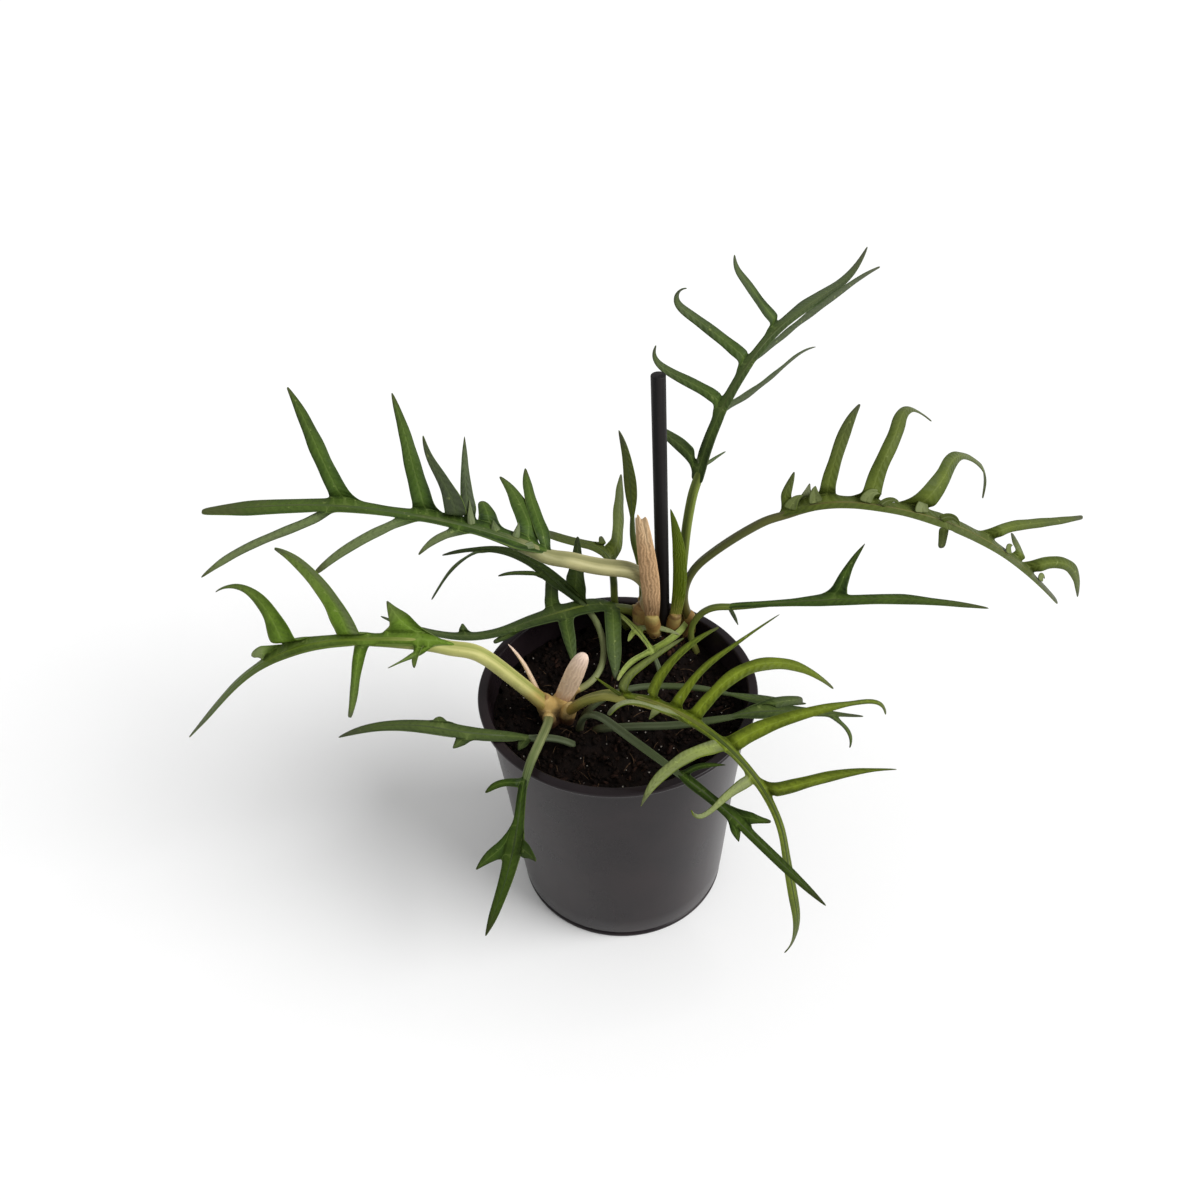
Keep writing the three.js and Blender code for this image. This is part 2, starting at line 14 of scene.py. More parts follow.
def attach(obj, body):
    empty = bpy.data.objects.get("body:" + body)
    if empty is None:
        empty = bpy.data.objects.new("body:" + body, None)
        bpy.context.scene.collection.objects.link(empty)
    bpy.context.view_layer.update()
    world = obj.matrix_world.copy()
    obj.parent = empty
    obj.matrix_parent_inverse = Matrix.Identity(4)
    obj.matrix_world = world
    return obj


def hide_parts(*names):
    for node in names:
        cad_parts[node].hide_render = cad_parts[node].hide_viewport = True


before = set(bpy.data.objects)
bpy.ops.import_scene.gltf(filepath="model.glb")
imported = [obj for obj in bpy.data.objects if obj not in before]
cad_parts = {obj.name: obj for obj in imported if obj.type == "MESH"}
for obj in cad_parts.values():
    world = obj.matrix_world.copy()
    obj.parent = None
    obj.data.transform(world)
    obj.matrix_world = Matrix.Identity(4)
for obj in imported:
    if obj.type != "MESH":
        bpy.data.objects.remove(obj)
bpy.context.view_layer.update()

MM = 0.001
UP = Vector((0, 0, 1))

# A whole turn, and the range in which chance picks one, in radians.
TURN = 2 * math.pi
ANY_TURN = (0, 6.28)

# Camera: it stands in front of the pot and looks down at it.
CAMERA_PLACE = (-5.893 * MM, -366.18 * MM, 478.543 * MM)
CAMERA_PITCH = math.radians(40.629)
CAMERA_ROLL = math.radians(-2.415)
CAMERA_LENS = 36
SENSOR_WIDTH = 36
NEAREST_SEEN = 0.02


def aim_camera():
    camera = bpy.data.objects.new("camera", bpy.data.cameras.new("camera"))
    camera.data.lens = CAMERA_LENS
    camera.data.sensor_width = SENSOR_WIDTH
    camera.data.clip_start = NEAREST_SEEN
    back = Vector((0, -math.cos(CAMERA_PITCH), math.sin(CAMERA_PITCH)))
    level_right = Vector((1, 0, 0))
    level_up = back.cross(level_right)
    right = level_right * math.cos(CAMERA_ROLL) + level_up * math.sin(CAMERA_ROLL)
    turned = Matrix((right, back.cross(right), back)).transposed().to_4x4()
    camera.matrix_world = Matrix.Translation(CAMERA_PLACE) @ turned
    bpy.context.collection.objects.link(camera)
    bpy.context.scene.camera = camera


# Finishes

def tint(code):
    """The linear colour of a six-digit sRGB code."""
    values = [int(code[i : i + 2], 16) / 255 for i in (0, 2, 4)]
    return [v / 12.92 if v < 0.04045 else ((v + 0.055) / 1.055) ** 2.4 for v in values] + [1]


class Signal:
    """A number that runs through a material. Sums on it add Math nodes."""

    def __init__(self, finish, socket):
        self.finish = finish
        self.socket = socket

    def maths(self, operation, first, second=0.5, clamp=False):
        settings = {"operation": operation, "use_clamp": clamp}
        return self.finish.node("ShaderNodeMath", settings, {0: first, 1: second})

    def __add__(self, other):
        return self.maths("ADD", self, other)

    __radd__ = __add__

    def __sub__(self, other):
        return self.maths("SUBTRACT", self, other)

    def __rsub__(self, other):
        return self.maths("SUBTRACT", other, self)

    def __mul__(self, other):
        return self.maths("MULTIPLY", self, other)

    __rmul__ = __mul__

    def __abs__(self):
        return self.maths("ABSOLUTE", self)

    def sine(self):
        return self.maths("SINE", self)

    def held(self):
        return self.maths("ADD", self, 0.0, clamp=True)

    def step(self, low, high):
        """0 below low, 1 above high, smooth between. low may be above high."""
        ends = {"From Min": min(low, high), "From Max": max(low, high)}
        ends.update({"To Min": 0.0, "To Max": 1.0} if low < high else {"To Min": 1.0, "To Max": 0.0})
        settings = {"interpolation_type": "SMOOTHSTEP"}
        return self.finish.node("ShaderNodeMapRange", settings, {"Value": self, **ends})


class Finish:
    """A material under construction."""

    def __init__(self, name, **values):
        self.material = bpy.data.materials.new(name)
        self.material.use_nodes = True
        self.tree = self.material.node_tree
        self.shader = self.tree.nodes["Principled BSDF"]
        for socket, value in values.items():
            self.set(socket.replace("_", " "), value)

    def node(self, kind, settings=None, inputs=None, output=0):
        made = self.tree.nodes.new(kind)
        for key, value in (settings or {}).items():
            if key == "stops":
                self.fill_ramp(made.color_ramp, value)
            else:
                setattr(made, key, value)
        for key, value in (inputs or {}).items():
            self.feed(made.inputs[key], value)
        return Signal(self, made.outputs[output])

    @staticmethod
    def fill_ramp(ramp, stops):
        while len(ramp.elements) < len(stops):
            ramp.elements.new(0.5)
        for element, (place, colour) in zip(ramp.elements, stops):
            element.position = place
            element.color = colour

    def feed(self, socket, value):
        if isinstance(value, Signal):
            self.tree.links.new(value.socket, socket)
        else:
            socket.default_value = value

    def set(self, socket, value):
        self.feed(self.shader.inputs[socket], value)

    def place(self, scale=(1, 1, 1)):
        where = self.node("ShaderNodeTexCoord", output=3)
        return self.node("ShaderNodeMapping", None, {"Vector": where, "Scale": scale})

    def value(self, name):
        return self.node("ShaderNodeAttribute", {"attribute_name": name}, output=2)

    def level(self):
        """Height above the pot's underside."""
        return self.node("ShaderNodeSeparateXYZ", None, {"Vector": self.place()}, output=2)

    def clouds(self, scale, detail, roughness=0.55, stretch=(1, 1, 1)):
        inputs = {"Vector": self.place(stretch), "Scale": scale, "Detail": detail, "Roughness": roughness}
        return self.node("ShaderNodeTexNoise", None, inputs)

    def blend(self, share, first, second):
        inputs = {0: share, 6: first, 7: second}
        return self.node("ShaderNodeMix", {"data_type": "RGBA"}, inputs, output=2)

    def ramp(self, share, stops):
        return self.node("ShaderNodeValToRGB", {"stops": stops}, {"Fac": share})

    def bump(self, height, distance, strength):
        inputs = {"Height": height, "Distance": distance, "Strength": strength}
        return self.node("ShaderNodeBump", None, inputs)


# Colours that all blades share: the midrib from above and below, the painted sheen on lobe halves and the
# dusky tint, and painted glints.
MIDRIB_ABOVE = "98a266"
MIDRIB_BELOW = "8a9368"
SHEEN_SIDE = "868c6a"
DUSKY_SIDE = "4a4e40"
PAINTED_GLINT = "9ba565"


def leaf_finish(name, dark, middle, bright, upper, tip, rim, fade):
    """A leaf blade: mottled green, with a painted highlight along each lobe's middle and painted shade along
    its edges.

    upper is the colour that it takes on by the share fade towards the tip, rim that of its right edge.
    """
    finish = Finish(name, Specular_IOR_Level=0.06, Coat_Weight=0.02, Coat_Roughness=0.25)
    signed = finish.value("across")
    across = abs(signed)
    along = finish.value("along")
    run = finish.value("run")
    pale = finish.value("pale")
    mottle = finish.clouds(120, 4)
    broad = finish.clouds(28, 2)
    grain = finish.clouds(950, 3, 0.7)
    body = finish.blend(broad.step(0.38, 0.62), tint(dark), tint(middle))
    # Painted highlight: the middle of each lobe is lightened towards the bright colour.
    painted_lit_middle = ((1 - across) * 0.9 + mottle * 1.3 - 0.85).held()
    body = finish.blend(painted_lit_middle, body, tint(bright))
    body = finish.blend((along + broad * 0.3 - 0.15).step(0.25, 0.9) * fade, body, tint(upper))
    body = finish.blend(across.step(0.1, 0.02) * 0.1, body, tint(MIDRIB_ABOVE))
    # Painted sheen: pale above zero lightens a lobe's half towards the sheen colour; below zero the half
    # takes the dusky tint.
    body = finish.blend(pale.held(), body, tint(SHEEN_SIDE))
    body = finish.blend((pale * -1).held(), body, tint(DUSKY_SIDE))
    body = finish.blend(grain.step(0.54, 0.68) * 0.4, body, tint(dark))
    body = finish.blend(grain.step(0.44, 0.34) * 0.22, body, tint(bright))
    # Painted glints: small pale specks inside each lobe.
    painted_glints = finish.clouds(420, 2).step(0.66, 0.72) * across.step(0.6, 0.1)
    body = finish.blend(painted_glints * 0.3, body, tint(PAINTED_GLINT))
    # Painted shade: the edges of each lobe are darkened.
    body = finish.blend(across.step(0.8, 1.0) * 0.5, body, tint(dark))
    body = finish.blend(signed.step(0.76, 0.96) * 0.7, body, tint(rim))
    body = finish.blend((along + mottle * 0.2 - 0.1).step(0.86, 0.99) * 0.8, body, tint(tip))
    finish.set("Base Color", body)
    finish.set("Roughness", mottle * 0.2 + 0.34)
    veins = ((run * 1900 + across * 5.5).sine() * 0.5 + 0.5) * across.step(0.02, 0.2)
    fine = finish.clouds(800, 2)
    finish.set("Normal", finish.bump(veins * 0.6 + fine * 0.5 + mottle * 0.7, 0.0003, 0.7))
    return finish.material


def underside_finish(name, base, edge):
    """The paler, duller underside of a blade."""
    finish = Finish(name, Specular_IOR_Level=0.1)
    across = abs(finish.value("across"))
    mottle = finish.clouds(80, 3)
    body = finish.blend(mottle.step(0.3, 0.7), tint(base), tint(edge))
    finish.set("Base Color", finish.blend(across.step(0.12, 0.03) * 0.4, body, tint(MIDRIB_BELOW)))
    finish.set("Roughness", mottle * 0.15 + 0.5)
    finish.set("Normal", finish.bump(finish.clouds(500, 2), 0.0002, 0.4))
    return finish.material


def stalk_finish(name, foot, middle, far, line):
    """A petiole that turns into the midrib: lengthwise streaks over a colour that changes along it."""
    finish = Finish(name, Specular_IOR_Level=0.16)
    along = finish.value("along")
    across = finish.value("across")
    mottle = finish.clouds(160, 3)
    stops = [(0.0, tint(foot)), (0.09, tint(middle)), (0.26, tint(middle)), (0.42, tint(far))]
    body = finish.ramp((along + mottle * 0.08 - 0.04).held(), stops)
    streak = ((across * 19).sine() * 0.5 + 0.5) * finish.clouds(60, 2).step(0.35, 0.6)
    body = finish.blend(streak * 0.4, body, tint(line))
    body = finish.blend(finish.value("groove").step(0.3, 0.9) * 0.7, body, tint(line))
    body = finish.blend(finish.clouds(520, 3).step(0.62, 0.72) * 0.35, body, tint(line))
    finish.set("Base Color", body)
    finish.set("Roughness", mottle * 0.2 + 0.36)
    finish.set("Normal", finish.bump(streak * 0.5 + mottle * 0.5, 0.0003, 0.6))
    return finish.material


def sheath_finish(name, foot, body, top, streak, rough):
    """A leaf sheath: fleshy or papery, with lengthwise fibres."""
    finish = Finish(name, Specular_IOR_Level=0.15)
    along = finish.value("along")
    across = finish.value("across")
    mottle = finish.clouds(240, 4)
    stops = [(0.0, tint(foot)), (0.25, tint(body)), (0.7, tint(body)), (1.0, tint(top))]
    colour = finish.ramp((along + mottle * 0.2 - 0.1).held(), stops)
    fibres = (across * 17 + mottle * 16).sine() * 0.5 + 0.5
    colour = finish.blend((fibres * mottle * 1.3).held() * 0.6, colour, tint(streak))
    finish.set("Base Color", colour)
    finish.set("Roughness", mottle * 0.2 + rough)
    finish.set("Normal", finish.bump(fibres * 0.6 + mottle * 0.4, 0.0004, 0.6))
    return finish.material


# Heights in millimetres above which the crowns' flesh keeps its own colour and below which it is at its
# darkest.
CROWN_UNDARKENED = 111
CROWN_DARKEST = 104


def crown_finish(name, foot, flesh, blush, scar):
    """Stem flesh: darker towards the foot, with brown leaf scars."""
    finish = Finish(name, Specular_IOR_Level=0.25)
    broad = finish.clouds(110, 3)
    mottle = finish.clouds(420, 4)
    scars = finish.clouds(70, 3, stretch=(1, 1, 5))
    body = finish.blend(broad.step(0.35, 0.65), tint(flesh), tint(blush))
    body = finish.blend(scars.step(0.52, 0.62) * 0.6, body, tint(scar))
    # The flesh darkens towards the foot.
    darker_low = (finish.level() + mottle * 0.006 - 0.003).step(CROWN_UNDARKENED * MM, CROWN_DARKEST * MM)
    body = finish.blend(darker_low, body, tint(foot))
    finish.set("Base Color", body)
    finish.set("Roughness", mottle * 0.25 + 0.45)
    finish.set("Normal", finish.bump(scars * 0.6 + mottle * 0.4, 0.0009, 0.8))
    return finish.material


def pot_finish():
    finish = Finish("pot_plastic", Specular_IOR_Level=0.2)
    cloud = finish.clouds(35, 3)
    drawn = finish.clouds(50, 3, stretch=(1, 1, 0.06))
    scuffs = finish.clouds(260, 5, 0.7).step(0.66, 0.74)
    body = finish.blend(cloud.step(0.3, 0.7), tint("181215"), tint("231b1d"))
    body = finish.blend(scuffs * 0.2, body, tint("4a4645"))
    finish.set("Base Color", body)
    finish.set("Roughness", cloud * 0.1 + drawn * 0.12 + scuffs * 0.15 + 0.18)
    grain = finish.clouds(1400, 2)
    finish.set("Normal", finish.bump(drawn * 0.7 + grain * 0.3, 0.0003, 0.25))
    return finish.material


def soil_finish(name, low, high, rough=0.9, shine=0.08):
    finish = Finish(name, Specular_IOR_Level=shine)
    coarse = finish.clouds(300, 4)
    fine = finish.clouds(1500, 4)
    body = finish.blend((coarse * 0.6 + fine * 0.5).step(0.4, 0.75), tint(low), tint(high))
    finish.set("Base Color", body)
    finish.set("Roughness", rough - coarse * 0.25)
    finish.set("Normal", finish.bump(coarse * 0.5 + fine * 0.5, 0.0012, 0.9))
    return finish.material


def stake_finish():
    finish = Finish("stake_plastic", Specular_IOR_Level=0.12)
    drawn = finish.clouds(260, 3, stretch=(1, 1, 0.02))
    mottle = finish.clouds(500, 4)
    body = finish.blend(drawn.step(0.4, 0.6), tint("141314"), tint("252222"))
    body = finish.blend(mottle.step(0.62, 0.74) * 0.3, body, tint("433c38"))
    # Painted shade and reflection: the stake turns darker and browner from 190 mm down to 130 mm.
    body = finish.blend(finish.level().step(0.19, 0.13) * 0.6, body, tint("0c0807"))
    finish.set("Base Color", body)
    finish.set("Roughness", mottle * 0.2 + 0.38)
    finish.set("Normal", finish.bump(drawn * 0.8 + mottle * 0.2, 0.0004, 0.5))
    return finish.material


# Shaping

def smooth(value, low, high):
    share = min(max((value - low) / (high - low), 0), 1)
    return share * share * (3 - 2 * share)


def mix(first, second, share):
    return first + (second - first) * share


def between(stations, share):
    place = share * (len(stations) - 1)
    first = min(int(place), len(stations) - 2)
    return mix(stations[first], stations[first + 1], place - first)


def piece(name, bm, materials, replaced, levels=0):
    """Turns a worked bmesh into a piece that rides on the root and stands for the replaced nodes."""
    mesh = bpy.data.meshes.new(name)
    bm.to_mesh(mesh)
    bm.free()
    mesh.polygons.foreach_set("use_smooth", [True] * len(mesh.polygons))
    made = bpy.data.objects.new(name, mesh)
    bpy.context.collection.objects.link(made)
    for material in materials:
        mesh.materials.append(material)
    if levels:
        rounding = made.modifiers.new("rounding", "SUBSURF")
        rounding.levels = levels
        rounding.render_levels = levels
    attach(made, "root")
    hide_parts(*replaced)
    return made


# Courses: millimetres from point to point, the fewest steps, and how far a buried foot runs back and down.
PACE = 0.5
FEWEST_PACES = 16
FOOT_BACK = 0.5
FOOT_DOWN = 0.14


class Course:
    """A growing line in millimetres, kept as points, directions and side directions at short paces."""

    def __init__(self, start, length, heading, rise, side=None):
        self.length = length
        self.paces = max(FEWEST_PACES, round(length / PACE))
        here = Vector(start)
        self.points = [here.copy()]
        for i in range(self.paces):
            share = (i + 0.5) / self.paces
            here += self.bearing(heading, rise, share) * (length / self.paces)
            self.points.append(here.copy())
        self.aims = []
        for i in range(self.paces + 1):
            ahead = self.points[min(i + 1, self.paces)]
            behind = self.points[max(i - 1, 0)]
            self.aims.append((ahead - behind).normalized())
        side = side or UP.cross(self.bearing(heading, rise, 0.5))
        self.sides = []
        for aim in self.aims:
            side = (side - aim * side.dot(aim)).normalized()
            self.sides.append(side)

    @staticmethod
    def bearing(heading, rise, share):
        turn = math.radians(between(heading, share))
        lift = math.radians(between(rise, share))
        level = math.cos(lift)
        return Vector((level * math.cos(turn), level * math.sin(turn), math.sin(lift)))

    def at(self, run):
        """Point, direction, side and upper side at a run. Before the start the line bends down."""
        if run < 0:
            point, aim, side, up = self.at(0)
            return point + aim * (run * FOOT_BACK) - UP * (run * run * FOOT_DOWN), aim, side, up
        place = min(run / self.length, 1) * self.paces
        first = min(int(place), self.paces - 1)
        share = place - first
        point = self.points[first].lerp(self.points[first + 1], share)
        aim = self.aims[first].lerp(self.aims[first + 1], share).normalized()
        side = self.sides[first].lerp(self.sides[first + 1], share).normalized()
        return point, aim, side, aim.cross(side)


def extruded(bm, vertices, edges):
    """Extrudes edges in place and gives the new vertex of each old one."""
    made = set(bmesh.ops.extrude_edge_only(bm, edges=edges)["geom"])
    return [next(e.other_vert(v) for e in v.link_edges if e.other_vert(v) in made) for v in vertices]


def first_row(bm, places):
    """An open row of vertices joined by edges."""
    row = [bm.verts.new(place * MM) for place in places]
    for first, second in zip(row, row[1:]):
        bm.edges.new((first, second))
    return row


def pull_row(bm, row, places):
    """Extrudes an open row of vertices to new places and gives the new row."""
    fresh = extruded(bm, row, [bm.edges.get((a, b)) for a, b in zip(row, row[1:])])
    for vertex, place in zip(fresh, places):
        vertex.co = place * MM
    return fresh


def ring_edges(bm, ring):
    return [bm.edges.get((a, b)) for a, b in zip(ring, ring[1:] + ring[:1])]


def first_ring(bm, sides, radius=1):
    return bmesh.ops.create_circle(bm, segments=sides, radius=radius)["verts"][:]


def pull_ring(bm, ring):
    """Extrudes a closed ring of vertices in place and gives the new ring."""
    return extruded(bm, ring, ring_edges(bm, ring))


def cap(bm, ring):
    """Closes a ring of vertices with one face."""
    bmesh.ops.contextual_create(bm, geom=ring_edges(bm, ring))


def note(layers, vertices, values):
    """Writes each vertex's share along and across, and its run in metres."""
    for vertex, (along, across, run) in zip(vertices, values):
        vertex[layers["along"]] = along
        vertex[layers["across"]] = across
        vertex[layers["run"]] = run * MM


NOTES = ("along", "across", "run", "groove", "pale")


def note_layers(bm):
    return {name: bm.verts.layers.float.new(name) for name in NOTES}


# Lobes: how they may fold and twist, how their edges wave (share, radians a millimetre) and how they
# ripple (millimetres, radians a millimetre). A negative fold turns the edges down.
LOBE_FOLD = (-0.25, -0.05)
LOBE_TWIST = (-10, 10)
EDGE_WAVE = 0.04
EDGE_WAVE_PACE = 0.45
RIPPLE = 0.3
RIPPLE_PACE = 0.35

# Rows: the usual and the least gap on a rib, the first step on a lobe as a share of its width, and how the
# steps grow.
ROW_GAP = 4.0
CLOSEST_ROWS = 0.9
FIRST_STEP = 0.28
STEP_GROWTH = 1.25
LONGEST_STEP = 3.6


def rib_halves(leaf, start, run, length):
    """Half widths of the rib's right and left wing at a run."""
    share = max(0, run - start) / (length - start)
    rounding = 0.5 + 0.5 * smooth(length - run, -0.2, 0.6)
    return between(leaf["right"], share) * rounding, between(leaf["left"], share) * rounding


class Lobe:
    """One lobe of a blade: its course, its widths and the stretch of the rib that it grows from."""

    def __init__(self, rib, values, chance, leaf, start):
        share, self.length, self.widths, self.web, heading, rise = values[:6]
        extra = values[6] if len(values) > 6 else {}
        self.root = share * rib.length
        place, self.rib_aim, side, up = rib.at(self.root)
        self.course = Course(place, self.length, heading, rise, side=self.rib_aim)
        chord = self.course.at(self.length * 0.6)[0] - place
        self.left = chord.dot(side) > 0
        start_aim = self.course.at(self.widths[0] * 0.5)[1]
        self.up_sign = 1 if self.course.at(self.widths[0])[3].dot(up) > 0 else -1
        self.forward = start_aim.dot(self.rib_aim)
        self.lean = max(0.45, math.sqrt(max(0, 1 - self.forward**2)))
        outward = (start_aim - self.rib_aim * self.forward).normalized()
        self.half_rib = rib_halves(leaf, start, self.root, rib.length)[self.left] * abs(outward.dot(side))
        half = self.widths[0] / 2
        middle = self.root + self.half_rib * self.forward / self.lean
        self.bare = middle - half / self.lean
        self.low = self.bare - self.web
        self.high = middle + half / self.lean
        settled = (self.half_rib + half * abs(self.forward) + 0.6) / self.lean + half * 0.3
        self.settled = min(settled, self.length * 0.5)
        self.fold = extra.get("fold", chance.uniform(*LOBE_FOLD))
        self.twist = math.radians(extra.get("twist", chance.uniform(*LOBE_TWIST)))
        self.phase = chance.uniform(*ANY_TURN)
        self.pale = extra.get("pale", (0, 0))

    def row(self, run, columns):
        """Places of a row of the lobe at a run past its root."""
        point, aim, side, up = self.course.at(run)
        turn = self.twist * max(0, run - self.settled) / self.length
        side, up = side * math.cos(turn) + up * math.sin(turn), up * math.cos(turn) - side * math.sin(turn)
        share = run / self.length
        loose = smooth(run, self.settled, self.settled + self.widths[0])
        wave = 1 + EDGE_WAVE * math.sin(run * EDGE_WAVE_PACE + self.phase) * loose
        half = between(self.widths, share) / 2 * wave
        half *= 0.55 + 0.45 * smooth(self.length - run, -0.1, 0.5)
        ripple = RIPPLE * math.sin(run * RIPPLE_PACE + self.phase) * (1 - share) * loose
        places = []
        for column in columns:
            lift = (self.fold * abs(column) ** 1.5 * half * loose + ripple * column) * self.up_sign
            places.append(point + side * (column * half) + up * lift)
        return places


def part_neighbours(lobes):
    """Keeps the roots of lobes on one side of a rib clear of each other. Webs give way first."""
    for left in (True, False):
        row = sorted((lobe for lobe in lobes if lobe.left is left), key=lambda lobe: lobe.root)
        for first, second in zip(row, row[1:]):
            if first.high > second.low:
                middle = first.high if second.bare >= first.high else mix(first.high, second.bare, 0.5)
                first.high = middle
                second.low = middle


def rib_stations(rib, lobes, start, end, tip):
    """Runs along the rib where its rows stand: at the roots of the lobes and at even steps between."""
    marks = [start, end]
    for lobe in lobes:
        lobe.low = min(max(lobe.low, start + 0.5), end - 4)
        lobe.high = min(max(lobe.high, lobe.low + 2.2), end - 1)
        marks += [lobe.low, mix(lobe.low, lobe.high, 0.5), lobe.high]
    if tip > 2:
        marks.append(end - 0.3 * tip)
    kept = []
    for mark in sorted(marks):
        if not kept or mark - kept[-1] >= CLOSEST_ROWS:
            kept.append(mark)
    kept[-1] = end
    filled = [kept[0]]
    for mark in kept[1:]:
        gap = mark - filled[-1]
        parts = max(1, round(gap / ROW_GAP))
        first = filled[-1]
        filled += [first + gap * (i + 1) / parts for i in range(parts)]
    return filled


def lobe_runs(lobe):
    """Runs along a lobe where its rows stand, from the first row that is clear of the rib to the tip."""
    run = lobe.settled
    end = lobe.length
    tip = lobe.widths[-1]
    last = end - 0.35 * tip if tip > 1.6 else end
    step = max(1.2, lobe.widths[0] * FIRST_STEP)
    rows = []
    while run < last - 0.8:
        rows.append(run)
        run += step
        step = min(step * STEP_GROWTH, LONGEST_STEP)
    rows.append(last)
    if last < end:
        rows.append(end)
    return rows


def grow_lobe(bm, layers, lobe, low, high, edge_rows):
    """Pulls a lobe out of the rib's edge, with a web that spreads down the rib below it."""
    row = edge_rows[low : high + 1]
    columns = [2 * i / (high - low) - 1 for i in range(high - low + 1)]
    roots = [vertex.co / MM for vertex in row]
    for vertex, column in zip(row[1:-1], columns[1:-1]):
        vertex[layers["across"]] = min(abs(column), 0.9)
    first = lobe.row(lobe.settled, columns)
    lobe_aim = lobe.course.at(lobe.settled)[1]
    longest = max((end - root).length for root, end in zip(roots, first))
    steps = 4 if longest > 5 else 3 if longest > 2.5 else 2
    for number in range(1, steps):
        share = number / steps
        places = []
        for column, root, end in zip(columns, roots, first):
            reach = (end - root).length
            swing = (1 - column) / 2 * min(1, lobe.web / 2)
            straight = (end - root).normalized()
            leaving = straight.lerp(lobe.rib_aim, swing).normalized() * reach
            arriving = straight.lerp(lobe_aim, 0.4 + 0.6 * swing).normalized() * reach
            a, b = share * share * (3 - 2 * share), share * (1 - share)
            places.append(root.lerp(end, a) + leaving * (b * (1 - share)) - arriving * (b * share))
        row = pull_row(bm, row, places)
        note(layers, row, [(0.1 * share, column, lobe.settled * share) for column in columns])
        for vertex, column in zip(row, columns):
            vertex[layers["pale"]] = lobe.pale[0 if column < 0 else 1] * share
    for run in lobe_runs(lobe):
        row = pull_row(bm, row, lobe.row(run, columns))
        note(layers, row, [(0.1 + 0.9 * run / lobe.length, column, run) for column in columns])
        for vertex, column in zip(row, columns):
            vertex[layers["pale"]] = lobe.pale[0 if column < 0 else 1]


def grow_flake(bm, layers, rib, values):
    """A small curled scale that stands on the rib: share, length, width, heading, rise, paleness (its own
    pale tint with a painted sheen).
    """
    share, length, width, heading, rise, pale = values
    place, aim, side, up = rib.at(share * rib.length)
    course = Course(place + up * 0.3, length, heading, rise, side=aim)
    columns = (-1, 0, 1)
    steps = 5
    row = []
    for number in range(steps + 1):
        point, aim, side, up = course.at(length * number / steps)
        half = width / 2 * (1 - 0.95 * (number / steps) ** 1.4)
        places = [point + side * (column * half) - up * (0.3 * abs(column) * half) for column in columns]
        row = pull_row(bm, row, places) if row else first_row(bm, places)
        note(layers, row, [(0.3, column * 0.7, number) for column in columns])
        for vertex in row:
            vertex[layers["pale"]] = pale


def nearest(runs, mark):
    return min(range(len(runs)), key=lambda i: abs(runs[i] - mark))


def thicken(bm, top, thickness):
    """Closes an open sheet into a thin solid whose lower side lies a thickness below the upper one."""
    bm.normal_update()
    normals = {tuple(vertex.co): vertex.normal.copy() for vertex in bm.verts}
    made = bmesh.ops.extrude_face_region(bm, geom=top, use_keep_orig=True)["geom"]
    for vertex in made:
        if isinstance(vertex, bmesh.types.BMVert):
            vertex.co -= normals[tuple(vertex.co)] * thickness
    bmesh.ops.recalc_face_normals(bm, faces=bm.faces[:])


# Blades: how far the rib's wings turn down, as a share of their width, and the thickness.
WING_FOLD = -0.08
BLADE_THICKNESS = 0.65

# Stalks: the least half width of a midrib, how much of it is lost by the tip, how much the foot swells and
# how far up, and the depth of the groove on the upper side, as a share of the stalk's depth.
STALK_SIDES = 12
THINNEST_RIB = 0.5
TIP_TAPER = 0.75
FOOT_SWELL = 0.12
FOOT_SWELL_REACH = 14
GROOVE = 0.3


def blade(bm, layers, rib, leaf, chance):
    """The thin green part of a leaf as one connected sheet, thickened: rib wings first, then each lobe.

    Gives the run where the blade starts and the faces of its upper side.
    """
    start = leaf["blade"] * rib.length
    lobes = [Lobe(rib, values, chance, leaf, start) for values in leaf["lobes"]]
    part_neighbours(lobes)
    start = max(min([start] + [lobe.low - 2 for lobe in lobes]), 3)
    runs = rib_stations(rib, lobes, start, rib.length, leaf["left"][-1] * 2)
    columns = (-1, 0, 1)
    opening = leaf["opening"]
    rows = []
    for number, run in enumerate(runs):
        point, aim, side, up = rib.at(run)
        right, left = rib_halves(leaf, leaf["blade"] * rib.length, run, rib.length)
        open_ = opening[number] if number < len(opening) else 1
        places = [point + side * (offset * open_) + up * (WING_FOLD * abs(offset) * open_)
                  for offset in (-right, 0, left)]
        row = pull_row(bm, rows[-1], places) if rows else first_row(bm, places)
        grown = 0.3 + 0.7 * (run - start) / (rib.length - start)
        note(layers, row, [(grown, column, run) for column in columns])
        rows.append(row)
    for left in (True, False):
        free = 0
        for lobe in sorted((lobe for lobe in lobes if lobe.left is left), key=lambda lobe: lobe.root):
            low = max(nearest(runs, lobe.low), free)
            high = min(max(nearest(runs, lobe.high), low + 1), len(runs) - 1)
            if high > low:
                grow_lobe(bm, layers, lobe, low, high, [row[2 if left else 0] for row in rows])
            free = high
    for values in leaf["flakes"]:
        grow_flake(bm, layers, rib, values)
    bmesh.ops.recalc_face_normals(bm, faces=bm.faces[:])
    top = bm.faces[:]
    if sum(face.normal.z * face.calc_area() for face in top) < 0:
        bmesh.ops.reverse_faces(bm, faces=top)
    thicken(bm, top, BLADE_THICKNESS * MM)
    return start, set(top)


